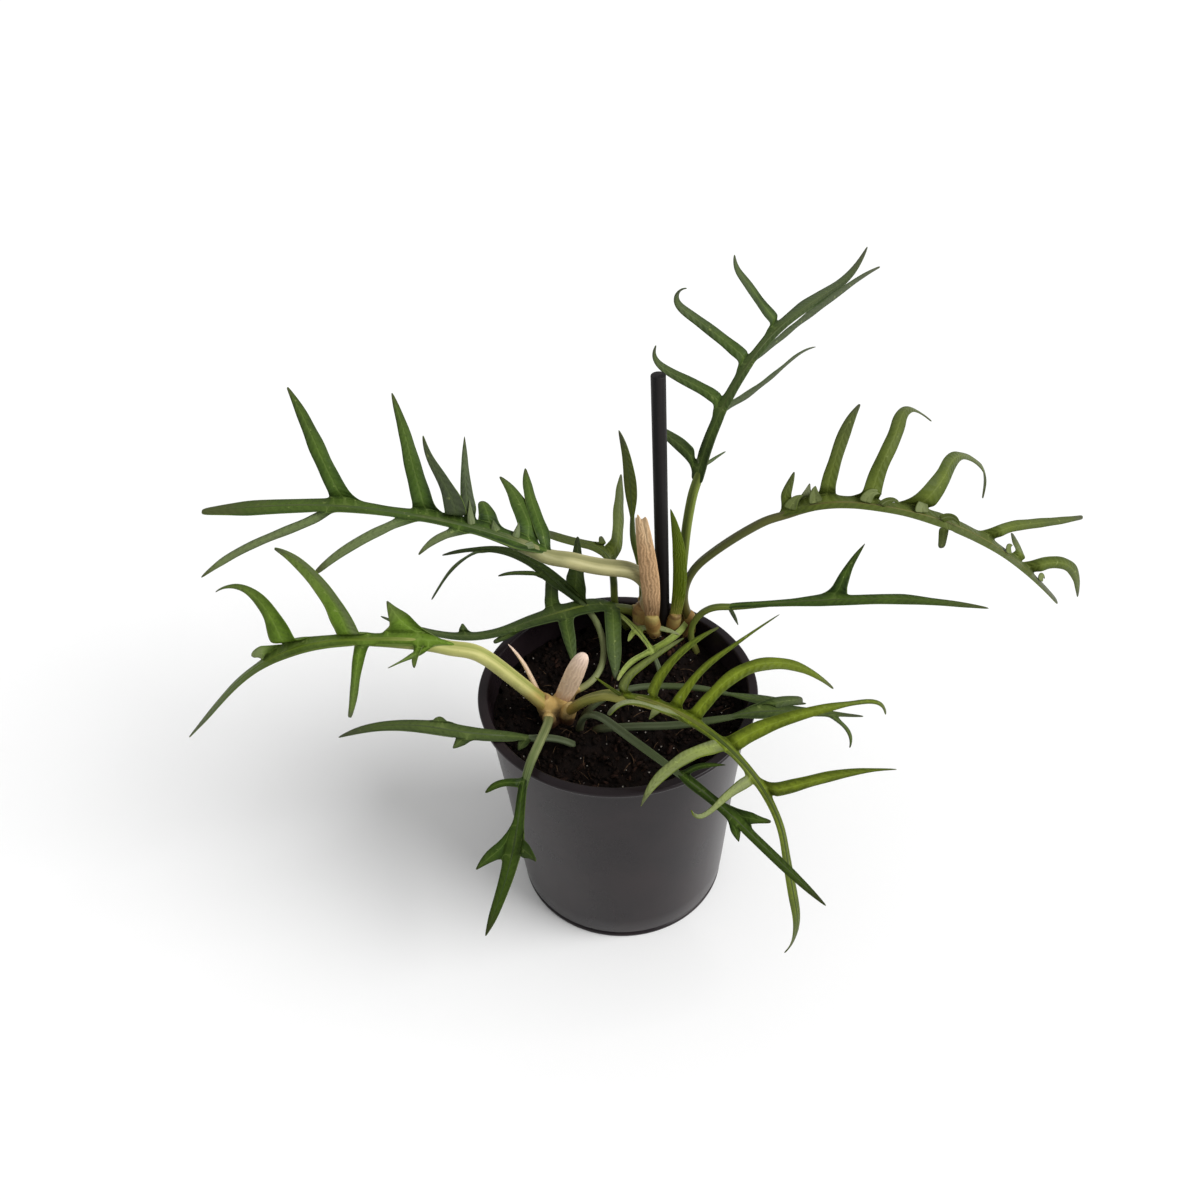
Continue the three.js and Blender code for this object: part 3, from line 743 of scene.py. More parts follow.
def stalk(bm, layers, rib, leaf, start, slot):
    """The petiole and the midrib that it runs into, as a grooved tube that tapers to the leaf's tip."""
    base = leaf["petiole"] / 2
    before = set(bm.faces)
    ring = first_ring(bm, STALK_SIDES)
    cap(bm, ring)
    count = max(8, round(rib.length / 4))
    end = rib.length * leaf["stalk_end"]
    root = leaf["root"]
    runs = [-root, -root / 2] + [end * number / count for number in range(count + 1)]
    for number, run in enumerate(runs):
        if number:
            ring = pull_ring(bm, ring)
        share = run / rib.length
        point, aim, side, up = rib.at(run)
        slim = smooth(run, start * 0.8, start + (rib.length - start) * 0.4)
        thinnest = max(base * leaf["midrib"], THINNEST_RIB)
        width = mix(base, thinnest, slim) * (1 - TIP_TAPER * smooth(run, start, end) ** 1.5)
        width *= 1 + FOOT_SWELL * (1 - smooth(run, 0, FOOT_SWELL_REACH))
        depth = width * mix(0.88, 1.0, slim)
        sink = depth * leaf["sink"] * smooth(run, start - 6, start + 6)
        for i, vertex in enumerate(ring):
            angle = TURN * i / STALK_SIDES
            crest = max(0.0, math.sin(angle)) ** 6
            hollow = 1 - GROOVE * crest * (1 - slim)
            across = side * (math.cos(angle) * width)
            vertex.co = (point + across + up * (math.sin(angle) * depth * hollow - sink)) * MM
            note(layers, [vertex], [(share, math.cos(angle) * (1 if math.sin(angle) < 0 else 0.8), run)])
            vertex[layers["groove"]] = crest * (1 - slim)
    bmesh.ops.pointmerge(bm, verts=ring, merge_co=rib.at(end + 0.4)[0] * MM)
    fresh_faces = [face for face in bm.faces if face not in before]
    bmesh.ops.recalc_face_normals(bm, faces=fresh_faces)
    for face in fresh_faces:
        face.material_index = slot


# What a leaf has unless it says otherwise: the midrib's share of the petiole and how far it sinks into the
# blade, the share of the rib where the stalk ends, how deep its root reaches, and how the blade opens.
USUAL = dict(midrib=0.35, sink=0.9, stalk_end=0.97, root=7, opening=(0.1, 0.35, 0.65, 0.88), flakes=())
SLOW_OPENING = (0.1, 0.2, 0.35, 0.55, 0.8)
# Paleness of a lobe's two halves: a painted sheen, full and faint, and a dusky tint.
SHEEN = dict(pale=(0.75, 0.75))
FAINT_SHEEN = dict(pale=(0.35, 0.35))
DUSKY = dict(pale=(-0.6, -0.6))

# Sizes in millimetres, courses in degrees. left and right are the half widths of the rib at even steps from
# where the blade starts to its tip, and right is as left where it isn't given. A lobe is: share of the rib
# where it grows, length, widths at even steps, web, heading, rise, and what sets it apart.
# Most of the headings, rises, widths and lengths were worked out by a fitting program from lines traced in
# the photo, and rounded by it. leaf_star and some later changes were given one by one.
LEAVES = {
    "leaf_far_left": dict(
        start=(13, 40, 121), length=213, blade=0.3, petiole=8.4,
        heading=[188, 196, 182, 182, 182, 184, 184], rise=[124, 18, 34, 20, 14, 4, -2],
        left=[4, 6, 4.5, 3, 3, 3.5, 4.5, 5, 2], right=[4, 5, 5, 5, 3.5, 5.5, 4.5, 5, 2],
        lobes=[
            (0.33, 44, [7, 7.5, 6.5, 5.5, 1.5], 0.5, [100, 110, 100, 95], [40, 25, 15, 10]),
            (0.35, 41, [11.5, 11, 9.5, 6.5, 1.5], 1.5, [115, 110, 115, 125], [35, 25, 15, 0]),
            (0.45, 17, [9, 9, 8, 6.5, 4], 2.5, [100, 105, 110], [35, 15, 0]),
            (0.49, 38, [7.5, 6.5, 4.5, 3, 0.5], 1.5, [105, 95, 90, 90], [55, 50, 40, 35], DUSKY),
            (0.52, 40, [10, 8.5, 5, 3.5, 1], 2.5, [130, 140, 135, 100], [100, 65, 45, 55], DUSKY),
            (0.58, 55, [8.5, 8.5, 7.5, 6.5, 5, 3.5, 1], 3.5, [105, 110, 105, 110, 110], [55, 45, 40, 35, 30]),
            (0.73, 55, [8.5, 7.5, 7, 7, 5.5, 4, 1], 3, [135, 125, 120, 120, 125], [50, 45, 45, 35, 30]),
            (0.47, 30, [4, 4, 4, 3.5, 1], 0, [210, 200, 205, 215], [15, 10, -15, -40], FAINT_SHEEN),
            (0.59, 49, [4.5, 4.5, 5, 4.5, 2.5], 0, [210, 210, 210, 210], [10, -5, -15, -30], FAINT_SHEEN),
            (0.75, 61, [4, 4, 4, 3.5, 3.5, 3, 1], 0, [210, 200, 200, 200, 205],
             [-20, -10, -10, -20, -30],
             FAINT_SHEEN),
        ],
        flakes=[
            (0.49, 11, 4, [100, 95, 90], [60, 60, 30], 0.5),
            (0.44, 6, 5, [120, 110, 90], [60, 30, 0], 0.3),
            (0.36, 10, 4, [215, 205, 190], [20, 5, -20], 0.5),
            (0.4, 8, 4, [60, 75, 100], [50, 30, 0], 0.4),
        ],
        midrib=0.4, sink=0.8, opening=SLOW_OPENING, look="deep", stalk="cream"),
    "leaf_upright": dict(
        start=(29.5, 42, 120), length=231, blade=0.29, petiole=4.6,
        heading=[42, 42, 42, 46, 48, 54, 64], rise=[86, 84, 68, 36, 0, -6, 16],
        left=[3.5, 3, 2.5, 2.5, 3.5, 6, 4.5, 2.5, 0.5], right=[3.5, 3, 2.5, 2.5, 2.5, 2, 2, 1.5, 0.5],
        lobes=[
            (0.32, 25, [5.5, 6, 6, 5, 2], 3, [150, 155, 155, 150], [55, 40, 30, 30]),
            (0.44, 41, [5, 5.5, 5, 4.5, 4, 2.5, 1], 4.5, [155, 160, 160, 165, 155], [40, 25, 20, 35, 125]),
            (0.53, 48, [6, 6, 5.5, 5, 4.5, 3.5, 1], 4.5, [150, 150, 155, 165, 150], [35, 30, 30, 35, 180]),
            (0.63, 36, [6, 6.5, 6, 5.5, 5, 4, 1.5], 4.5, [155, 150, 150, 155, 150], [40, 45, 50, 45, 95]),
            (0.32, 22, [2, 2, 2, 1.5, 0.5], 0, [50, 55, 55], [-10, -10, -15], SHEEN),
            (0.43, 70, [4, 4, 3, 2, 0.5], 0, [40, 45, 50, 50], [-5, 5, 5, -20], DUSKY),
            (0.53, 92, [3.5, 3.5, 3.5, 4, 3.5, 2.5, 1], 0, [45, 45, 40, 45, 45], [0, 10, 10, 5, -5], DUSKY),
        ],
        midrib=0.6, opening=(0.9, 0.95, 1), look="olive", stalk="green"),
    "leaf_arching": dict(
        start=(34, 37.5, 119), length=220, blade=0.34, petiole=4.5,
        heading=[-2, -8, -4, -6, 0, -4, -2], rise=[114, 48, 32, -6, -24, -40, -50],
        left=[6, 6.5, 4.5, 4.5, 7, 5.5, 5.5, 4, 3.5], right=[4, 4, 4, 4, 5.5, 5.5, 4.5, 4, 3.5],
        lobes=[
            (0.36, 19, [5, 5, 4.5, 3, 1.5], 1, [90, 75, 60, 65], [40, 35, 30, 20]),
            (0.4, 12, [6, 6, 4, 2, 1], 3.5, [85, 70, 70], [30, 20, 5], SHEEN),
            (0.44, 48, [7, 6.5, 6, 5.5, 6, 4, 1.5], 1, [85, 65, 65, 60, 50], [45, 35, 30, 25, 15]),
            (0.52, 78, [8.5, 7, 6.5, 6.5, 4.5, 2, 1], 3.5, [70, 50, 70, 45, 30], [55, 40, 10, -35, -45]),
            (0.61, 98, [11, 9, 7.5, 3.5, 3, 5, 1], 4, [20, 65, 50, 35, 55], [50, 0, -30, -45, -95]),
            (0.77, 61, [6, 5, 4.5, 3.5, 2], 1, [35, 25, 25, 30], [10, -15, -15, -15]),
            (0.87, 23, [6, 7, 6.5, 5, 2], 1, [70, 85, 85, 85], [20, 0, -5, -15]),
            (0.89, 54, [6.5, 6.5, 5.5, 5.5, 6, 5, 1], 1, [25, 25, 25, 25, 25], [5, -15, -40, -65, -80]),
            (0.67, 14, [4.5, 4.5, 4.5, 4, 3], 0, [300, 300, 300], [-75, -85, -90]),
        ],
        flakes=[
            (0.37, 9, 6, [60, 40, 10], [45, 30, 0], 0.2),
            (0.42, 8, 6, [110, 90, 60], [50, 40, 10], 0.3),
            (0.51, 10, 6, [60, 20, -20], [60, 20, -50], 0.35),
            (0.54, 10, 4, [20, 0, -30], [50, 0, -70], 0.7),
            (0.62, 9, 7, [90, 50, 10], [50, 20, -40], 0.4),
            (0.66, 11, 5, [10, -10, -40], [40, -20, -80], 0.6),
            (0.83, 8, 4, [90, 60, 20], [30, 0, -40], 0.2),
            (0.93, 8, 4, [80, 40, 0], [30, -20, -80], 0.3),
        ],
        midrib=0.5, stalk_end=0.9, look="fresh", stalk="olive"),
    "leaf_low_right": dict(
        start=(37, 32, 104), length=149, blade=0.37, petiole=3.6,
        heading=[-10, -16, -10, -8, -8], rise=[122, 14, 10, 2, -10],
        left=[2, 2.5, 4.5, 3, 3.5, 4, 2, 1.5, 0.5], right=[2, 2.5, 3.5, 3.5, 3, 3, 2.5, 2, 0.5],
        lobes=[
            (0.26, 10, [2, 2, 2, 1.5, 0.5], 0.5, [295, 305, 300], [-35, -40, -50], DUSKY),
            (0.57, 30, [7.5, 6, 4, 2.5, 0.5], 3.5, [60, 60, 50, 50], [35, 30, 20, 10]),
        ],
        root=14, look="deep", stalk="green"),
    "leaf_back_left": dict(
        start=(11, 46, 116), length=122, blade=0.09, petiole=5,
        heading=[190, 194, 194, 188, 188], rise=[46, -4, -12, 22, 40],
        left=[5.5, 5.5, 5.5, 4, 3, 3, 2.5, 2.5, 0.5], right=[5.5, 5.5, 5.5, 5, 3.5, 3, 2.5, 2.5, 0.5],
        lobes=[
            (0.12, 37, [9, 8.5, 8, 6.5, 2], 0, [275, 270, 270, 270], [-10, -20, -25, -30]),
            (0.3, 30, [7, 7, 6, 4, 1], 1, [270, 280, 280, 275], [-5, -15, -25, -35]),
            (0.45, 17, [3.5, 3.5, 3.5, 3, 2], 0, [210, 200, 195], [-25, -20, -20]),
            (0.35, 23, [6.5, 7, 6.5, 6, 6], 0, [90, 90, 90], [15, 10, 5]),
            (0.68, 6, [4, 4, 4, 2.5, 1.5], 2, [105, 95, 105], [40, 35, 20]),
        ],
        look="shade", stalk="green"),
    "leaf_behind": dict(
        start=(9, 48.5, 103), length=78, blade=0.58, petiole=4.5,
        heading=[170, 168, 174, 174, 168], rise=[38, 90, 90, 12, 20],
        left=[5, 4, 3.5, 3, 3, 3, 3, 3, 2.5],
        lobes=[
            (0.56, 49, [9.5, 10.5, 10, 7.5, 1.5], 0.5, [65, 85, 85, 85], [25, 20, 15, 10]),
            (0.64, 7, [4, 4, 4, 3, 2], 1.5, [110, 105, 105], [60, 50, 40]),
        ],
        look="fresh", stalk="green"),
    "leaf_tall": dict(
        start=(13.5, 49.8, 119), length=90, blade=0.45, petiole=3,
        heading=[60, 152, 158, 74, 136, 156, 164], rise=[90, 86, 74, 84, 86, 82, 72],
        left=[1.5, 2, 2.5, 3, 3, 2.5, 2, 1.5, 0.5],
        lobes=[],
        look="fresh", stalk="green"),
    "leaf_star": dict(
        start=(20, 20, 99.5), length=40, blade=0.3, petiole=2.4,
        heading=[127, 127, 127, 132, 137], rise=[80, 60, 22, 20, 4],
        left=[1.3, 1.3, 1.3, 1.3, 1.5, 1.3, 1.3, 1.3, 1],
        lobes=[
            (0.36, 27, [3, 3, 3.5, 3, 2], 1, [20, 20, 35, 60, 60], [20, 20, 15, 15, 15]),
            (0.36, 24, [3, 2.5, 3, 2.5, 1.5], 1, [215, 215, 235, 250], [0, 0, -5, -5]),
            (0.68, 21, [2.5, 2.5, 2.5, 1.5], 1, [-5, -5, -20, -20], [5, 5, -10, -15], SHEEN),
            (0.68, 7, [2.5, 2.5, 1.5], 1, [235, 235, 235], [-20, -30, -30]),
        ],
        look="pale", stalk="grey"),
    "leaf_near_left": dict(
        start=(-31, -3, 109), length=195, blade=0.25, petiole=7.6,
        heading=[184, 182, 184, 180, 176, 182, 180], rise=[55, 52, 11, 0, -32, -48, -50],
        left=[4, 3.5, 3.5, 4, 4.5, 3.5, 4, 3.5, 0.5], right=[4, 4.5, 4, 4, 6.5, 3.5, 4, 3.5, 0.5],
        lobes=[
            (0.36, 22, [14.5, 15, 9, 4.5, 1], 5.5, [110, 130, 125, 115], [30, 15, 15, 10]),
            (0.49, 51, [9.5, 9, 7.5, 6.5, 5.5, 4, 1], 4.5, [155, 155, 150, 150, 160],
             [90, 75, 55, 35, 10],
             dict(fold=0.4, twist=0, pale=(0.35, 0))),
            (0.63, 51, [11.5, 10.5, 7.5, 5.5, 3, 1.5, 0.5], 5.5, [145, 135, 140, 155, 160],
             [80, 70, 30, -15, -45]),
            (0.67, 9, [8.5, 9, 7.5, 4.5, 2], 1, [165, 175, 195], [50, 0, -50], dict(pale=(0.4, 0.4))),
            (0.46, 36, [6, 5, 4, 3.5, 2], 3, [230, 235, 235, 230], [-55, -65, -70, -60]),
            (0.31, 23, [3.5, 3.5, 2.5, 1, 0.5], 0, [220, 215, 215, 215], [-10, -5, 0, 0]),
            (0.33, 14, [3.5, 3.5, 3, 2.5, 1.5], 0, [225, 240, 255], [5, -35, -80]),
        ],
        midrib=0.45, sink=0.85, opening=SLOW_OPENING, look="grass", stalk="yellow"),
    "leaf_front_down": dict(
        start=(-30, -10, 108), length=114, blade=0.41, petiole=4.1,
        heading=[276, 258, 252, 254, 240, 236, 238], rise=[40, 18, 2, -56, -62, -50, -40],
        left=[2, 2, 2.5, 3.5, 3.5, 3, 2.5, 2, 0.5], right=[2, 2, 2, 3, 3.5, 3, 2.5, 2, 0.5],
        lobes=[
            (0.43, 17, [3.5, 3.5, 3, 3, 1.5], 2, [180, 180, 190, 200], [20, 5, -20, -50]),
            (0.65, 19, [10, 10, 6, 3.5, 1], 5, [195, 200, 200, 200], [-5, -20, -35, -45]),
            (0.65, 13, [7, 7.5, 7.5, 3.5, 1], 4, [315, 315, 305], [20, 5, -15]),
        ],
        look="forest", stalk="sage"),
    "leaf_near_right": dict(
        start=(-21, -7, 109), length=216, blade=0.21, petiole=5.4,
        heading=[-46, -46, -38, -38, -40, -40, -40], rise=[56, 38, 2, -40, -78, -76, -112],
        left=[3.5, 2.5, 2, 2, 2, 2.5, 3, 2.5, 0.5],
        lobes=[
            (0.21, 37, [5, 4, 3, 2.5, 1], 1, [45, 20, 30, 30], [100, 30, 15, 5], dict(pale=(0.1, 0.3))),
            (0.28, 42, [5.5, 4.5, 3.5, 2.5, 1], 0.5, [45, 30, 30, 25], [80, 45, 20, 5]),
            (0.33, 57, [5, 4, 3, 2.5, 1.5, 1, 0.5], 1.5, [40, 35, 25, 30, 30], [55, 35, 20, 15, 10]),
            (0.37, 76, [5.5, 5, 5.5, 5.5, 5, 3, 1], 2.5, [35, 35, 15, 10, 15], [45, 20, -10, -40, -55]),
            (0.45, 75, [7, 6.5, 5, 4, 2, 2, 1.5], 1, [15, 10, 10, 20, 35], [35, 15, 5, -15, -80]),
            (0.55, 51, [6.5, 6, 5.5, 5, 3.5, 1.5, 0.5], 2, [-5, 5, 5, 5, 5], [5, 15, 10, 0, -10]),
            (0.36, 38, [7.5, 7.5, 8, 7, 4, 3.5, 2.5], 0, [190, 190, 190, 205, 230],
             [40, 35, 35, 20, -40],
             SHEEN),
            (0.44, 57, [6.5, 6, 5.5, 5, 4.5, 3.5, 0.5], 1.5, [230, 225, 230, 230, 245],
             [35, 30, 20, 5, -20],
             dict(pale=(0.35, 0.35))),
            (0.52, 47, [4.5, 4.5, 3.5, 2.5, 2, 2, 2.5], 1.5, [220, 225, 235, 235, 225],
             [15, 10, 15, 35, 70],
             dict(pale=(0.5, 0.5))),
        ],
        flakes=[
            (0.21, 13, 4, [150, 150, 150], [20, 20, 20], 0.1),
            (0.3, 9, 6, [250, 240, 230], [10, 0, -20], 0.5),
        ],
        midrib=0.5, sink=0.8, opening=SLOW_OPENING, look="lime", stalk="amber"),
    "leaf_low_front": dict(
        start=(-17, -12, 103), length=150, blade=0.49, petiole=3.5,
        heading=[-60, -58, -44, -48, -42], rise=[76, 14, -4, -14, -22],
        left=[2, 2.5, 2, 2.5, 2, 2, 2, 1.5, 0.5], right=[2, 2.5, 2, 2, 2, 2, 2, 1.5, 0.5],
        lobes=[
            (0.53, 18, [2.5, 2.5, 2.5, 1.5, 0.5], 2, [10, -5, -5], [55, 15, -5]),
            (0.69, 15, [6, 6, 4.5, 2.5, 1.5], 3.5, [-20, -15, -5], [15, -5, -10]),
            (0.7, 9, [4, 4, 4, 2.5, 0.5], 2, [265, 280, 285], [-20, -25, -35]),
        ],
        look="forest", stalk="grey"),
    "leaf_low_left": dict(
        start=(-16, -20.5, 98), length=108, blade=0.3, petiole=3.4,
        heading=[192, 194, 182, 174, 180, 184], rise=[58, 20, 12, 12, -2, -26],
        left=[2.5, 3, 3.5, 3.5, 3.5, 3, 2.5, 2, 0.5], right=[2.5, 3, 3.5, 4, 3.5, 3, 2.5, 2, 0.5],
        lobes=[
            (0.26, 7, [5, 5, 4.5, 3, 1.5], 1, [230, 230, 225], [-15, -20, -40]),
            (0.49, 9, [5.5, 5.5, 5.5, 3, 1], 4, [225, 220, 210], [-20, -25, -25]),
            (0.6, 6, [6.5, 6.5, 6.5, 5, 3.5], 3.5, [100, 95, 125], [35, 10, -10]),
        ],
        look="moss", stalk="grey"),
    "leaf_swan": dict(
        start=(-20, 6, 107), length=131, blade=0.46, petiole=3.2,
        heading=[14, 88, 144, 142, 160, 162], rise=[2, 28, 30, 16, -12, -28],
        left=[2.5, 3, 2.5, 2.5, 2, 1.5, 1, 1, 0.5], right=[2.5, 4, 2.5, 2.5, 2, 1.5, 1, 1, 0.5],
        lobes=[
            (0.43, 37, [11.5, 11.5, 7, 5, 1.5], 4, [125, 125, 125, 125], [105, 100, 95, 95]),
            (0.56, 22, [2.5, 2.5, 2.5, 2, 1], 1, [195, 185, 185, 190], [5, 10, 5, -15]),
            (0.82, 35, [4, 3.5, 3, 2.5, 1], 0.5, [210, 215, 225, 220], [5, -15, -35, -45]),
        ],
        look="shade", stalk="sage"),
    "leaf_far_right_low": dict(
        start=(-15, -4, 103), length=100, blade=0.64, petiole=3.2,
        heading=[4, -6, -14, -12], rise=[54, 6, -6, 4],
        left=[2.5, 3, 3, 3, 3.5, 3, 2.5, 1.5, 0.5],
        lobes=[],
        look="moss", stalk="grey"),
    "leaf_mid_right": dict(
        start=(-10, -13, 103), length=116, blade=0.49, petiole=3.6,
        heading=[-30, -16, 4, 0, -8], rise=[32, 14, 12, -8, -2],
        left=[2.5, 3, 3.5, 4, 3.5, 2.5, 2, 1, 0.5], right=[2.5, 3, 3.5, 3.5, 3, 2, 1.5, 1, 0.5],
        lobes=[
            (0.58, 26, [6, 6, 5, 4.5, 3.5], 1, [15, 15, 15, 15], [15, 5, -5, -20]),
            (0.87, 22, [2, 2, 2, 2, 1], 0.5, [-30, -30, -30, -30], [-15, -30, -70, -105]),
        ],
        look="moss", stalk="grey"),
}

# Dark (also the painted shade along each lobe's edges), middle, bright (also the painted highlight along each
# lobe's middle), upper, tip and right edge of each blade, and how far it fades towards its tip.
BLADE_LOOKS = {
    "deep": ("233216", "34481b", "4a6222", "4f5e2a", "464a2c", "2f4020", 0.4),
    "forest": ("1a260c", "26370f", "3a5014", "3e4e1a", "2e3219", "24300f", 0.4),
    "olive": ("263318", "384a21", "4c5f29", "4c5638", "4e503e", "303e1f", 0.7),
    "fresh": ("3e4a1c", "4e5a22", "5e6a28", "4c5430", "4a4c3c", "444e1e", 0.8),
    "grass": ("33470f", "4c641a", "66822a", "5c683a", "4c503c", "606c34", 0.6),
    "lime": ("3e4812", "5e6a18", "7a8a24", "3e4a16", "484c30", "505c22", 0.6),
    "moss": ("28341b", "384522", "4e5e2a", "4e5a32", "464a38", "2c3822", 0.5),
    "shade": ("243016", "36461f", "4c5e26", "465232", "3c4030", "2c3820", 0.5),
    "pale": ("4e5e28", "6e7f34", "8e9c48", "8e9a54", "8f8f64", "a6ad7a", 0.6),
}

# Foot, middle and far end of each stalk, and its streaks.
STALK_LOOKS = {
    "cream": ("9a7c58", "aca678", "3c4c24", "74744a"),
    "yellow": ("b08a4a", "b4b070", "52661c", "7d8640"),
    "amber": ("9a7a3c", "94924a", "36430f", "4c581c"),
    "green": ("6a6834", "6e7a34", "46522b", "4c5826"),
    "olive": ("4e4118", "54582d", "5e5e2c", "4c4a2a"),
    "sage": ("8a8450", "80865a", "2e3e18", "5a683a"),
    "grey": ("3e3a26", "5c664a", "44502e", "434c31"),
}


def make_leaves():
    tops = {name: leaf_finish("blade_" + name, *codes) for name, codes in BLADE_LOOKS.items()}
    unders = {name: underside_finish("underside_" + name, codes[1], codes[3])
              for name, codes in BLADE_LOOKS.items()}
    stalks = {name: stalk_finish("stalk_" + name, *codes) for name, codes in STALK_LOOKS.items()}
    for name, own in LEAVES.items():
        leaf = {**USUAL, "right": own["left"], **own}
        chance = random.Random(zlib.crc32(name.encode()))
        bm = bmesh.new()
        layers = note_layers(bm)
        rib = Course(leaf["start"], leaf["length"], leaf["heading"], leaf["rise"])
        start, upper = blade(bm, layers, rib, leaf, chance)
        for face in bm.faces:
            face.material_index = 0 if face in upper else 1
        stalk(bm, layers, rib, leaf, start, 2)
        look = leaf["look"]
        slot = "leaf_dark" if look in ("deep", "forest", "olive", "shade") else "leaf_green"
        materials = [tops[look], unders[look], stalks[leaf["stalk"]]]
        piece(name, bm, materials, (name,), levels=2)


# Crowns: the fleshy bases that the petioles grow from. Each member has an arm that starts in the soil under
# the crown's foot, passes between that foot and the member's own start, and runs a collar up its stalk.

SOIL_LEVEL = 102
CROWN_DEPTH = 9
CROWN_FOOT_HALF = 5
CROWN_GATHER = 0.45
CROWN_COLLAR = 4
USUAL_START = 108
CROWNS = {
    "crown_front": dict(
        foot=(-26, -5), look="front", members=[
            "leaf_near_left", "leaf_front_down", "leaf_near_right", "leaf_swan",
            "sheath_pink_thick", "sheath_pink_thin"]),
    "crown_back": dict(
        foot=(22, 40), look="back", members=[
            "leaf_far_left", "leaf_upright", "leaf_arching", "leaf_back_left", "leaf_tall",
            "sheath_tan", "sheath_green"]),
}

SHEATHS = {
    "sheath_pink_thick": dict(
        start=(-25, -0.5, 108), length=30, heading=[5, 0, 0], rise=[62, 70, 66], foot=6.4,
        widths=[6.5, 8, 8.6, 8.6, 7.6, 5], flat=0.8, side=(1, 0, 0), look="pink"),
    "sheath_pink_thin": dict(
        start=(-33.5, 1.5, 108), length=36, heading=[175, 185, 190], rise=[78, 74, 60], foot=3.6,
        widths=[3.6, 3, 2.6, 2.2, 1.6, 0.8], flat=0.8, look="pink"),
    "sheath_tan": dict(
        start=(17, 33.5, 122), length=64, heading=[180, 180, 180], rise=[90, 84, 84], foot=5.6,
        widths=[6, 8, 8.6, 8, 6.8, 5], flat=0.35, side=(1, 0, 0), ragged=0.35, look="tan"),
    "sheath_green": dict(
        start=(27, 35, 121), length=62, heading=[0, 0, 0], rise=[80, 92, 104], foot=5,
        widths=[5, 6, 6.4, 6, 4, 1], flat=0.4, side=(1, 0, 0), look="green"),
}


def tube(bm, course, radii, sides, rows, flat=1.0, layers=None, ragged=()):
    """A closed tube along a course. radii gives its half width at each share.

    ragged holds, for each vertex of a ring, the share of the course that its end falls short.
    """
    ring = first_ring(bm, sides)
    cap(bm, ring)
    for number in range(rows + 1):
        share = number / rows
        if number:
            ring = pull_ring(bm, ring)
        for i, vertex in enumerate(ring):
            angle = TURN * i / sides
            own = share * (1 - ragged[i] * share) if ragged else share
            point, aim, side, up = course.at(own * course.length)
            half = radii(share)
            vertex.co = (point + side * (math.cos(angle) * half) + up * (math.sin(angle) * half * flat)) * MM
            if layers:
                note(layers, [vertex], [(share, math.cos(angle), own * course.length)])
    cap(bm, ring)


PATH_STEPS = 8


class Path(Course):
    """A course through given points."""

    def __init__(self, points, side=None):
        self.points = []
        for i in range(len(points) - 1):
            p0, p1, p2, p3 = (points[min(max(i + k, 0), len(points) - 1)] for k in (-1, 0, 1, 2))
            for j in range(PATH_STEPS):
                t = j / PATH_STEPS
                self.points.append(0.5 * (2 * p1 + (p2 - p0) * t + (2 * p0 - 5 * p1 + 4 * p2 - p3) * t**2
                                          + (3 * p1 - p0 - 3 * p2 + p3) * t**3))
        self.points.append(points[-1].copy())
        self.paces = len(self.points) - 1
        self.length = sum((b - a).length for a, b in zip(self.points, self.points[1:]))
        self.aims = [(self.points[min(i + 1, self.paces)] - self.points[max(i - 1, 0)]).normalized()
                     for i in range(self.paces + 1)]
        side = side or Vector((0, 1, 0))
        self.sides = []
        for aim in self.aims:
            side = (side - aim * side.dot(aim)).normalized()
            self.sides.append(side)


def make_crowns():
    looks = {
        "front": crown_finish("crown_flesh_front", "3a2415", "c6ac72", "b89a5c", "7a5030"),
        # The back crown's flesh is a darker copy of the front one's: painted shade.
        "back": crown_finish("crown_flesh_back_shaded", "2c1c11", "9a8a50", "8a6a3a", "5a3d22"),
    }
    growers = {**LEAVES, **SHEATHS}
    for name, crown in CROWNS.items():
        foot = crown["foot"]
        bm = bmesh.new()
        for member in crown["members"]:
            grower = growers[member]
            start = Vector(grower["start"])
            aim = Course.bearing(grower["heading"], grower["rise"], 0)
            half = grower.get("petiole", grower.get("foot")) / 2
            lowest = Vector((foot[0], foot[1], SOIL_LEVEL - CROWN_DEPTH))
            below = start.lerp(Vector((foot[0], foot[1], start.z)), CROWN_GATHER)
            below.z = SOIL_LEVEL - 2 + (start.z - USUAL_START) * 0.5
            course = Path([lowest, below, start, start + aim * CROWN_COLLAR])
            radii = (CROWN_FOOT_HALF, half + 1.0, half + 0.7, half - 0.1)
            tube(bm, course, lambda share, radii=radii: between(radii, share), sides=12, rows=14)
        made = piece(name, bm, [looks[crown["look"]]], (name,))
        remesh = made.modifiers.new("joining", "REMESH")
        remesh.mode = "VOXEL"
        remesh.voxel_size = 0.5 * MM
        remesh.use_smooth_shade = True
        soften = made.modifiers.new("softening", "SMOOTH")
        soften.factor = 0.6
        soften.iterations = 8


def make_sheaths():
    looks = {
        "pink": sheath_finish("sheath_pink", "b5854e", "e4c9ac", "ecd4c4", "c4a48c", 0.45),
        "tan": sheath_finish("sheath_tan", "5e4628", "c4a078", "d0b48e", "7e5c3a", 0.65),
        "green": sheath_finish("sheath_green", "8a8640", "54620c", "4e5c14", "3f5010", 0.45),
    }
    chance = random.Random(7)
    for name, sheath in SHEATHS.items():
        bm = bmesh.new()
        layers = note_layers(bm)
        side = Vector(sheath["side"]) if "side" in sheath else None
        course = Course(sheath["start"], sheath["length"], sheath["heading"], sheath["rise"], side=side)
        widths = sheath["widths"]
        sides = 16
        shortfall = sheath.get("ragged", 0)
        ragged = [chance.uniform(0, shortfall) for _ in range(sides)] if shortfall else ()
        closing = 0.6 if shortfall == 0 else 0.1

        def radii(share):
            return between(widths, share) / 2 * (1 - closing * smooth(share, 0.93, 1.0))

        tube(bm, course, radii, sides=sides, rows=20, flat=sheath["flat"], layers=layers, ragged=ragged)
        piece(name, bm, [looks[sheath["look"]]], (name,), levels=2)


# Pot, soil and stake. The profile runs from the middle of the underside round the wall to the inner floor.

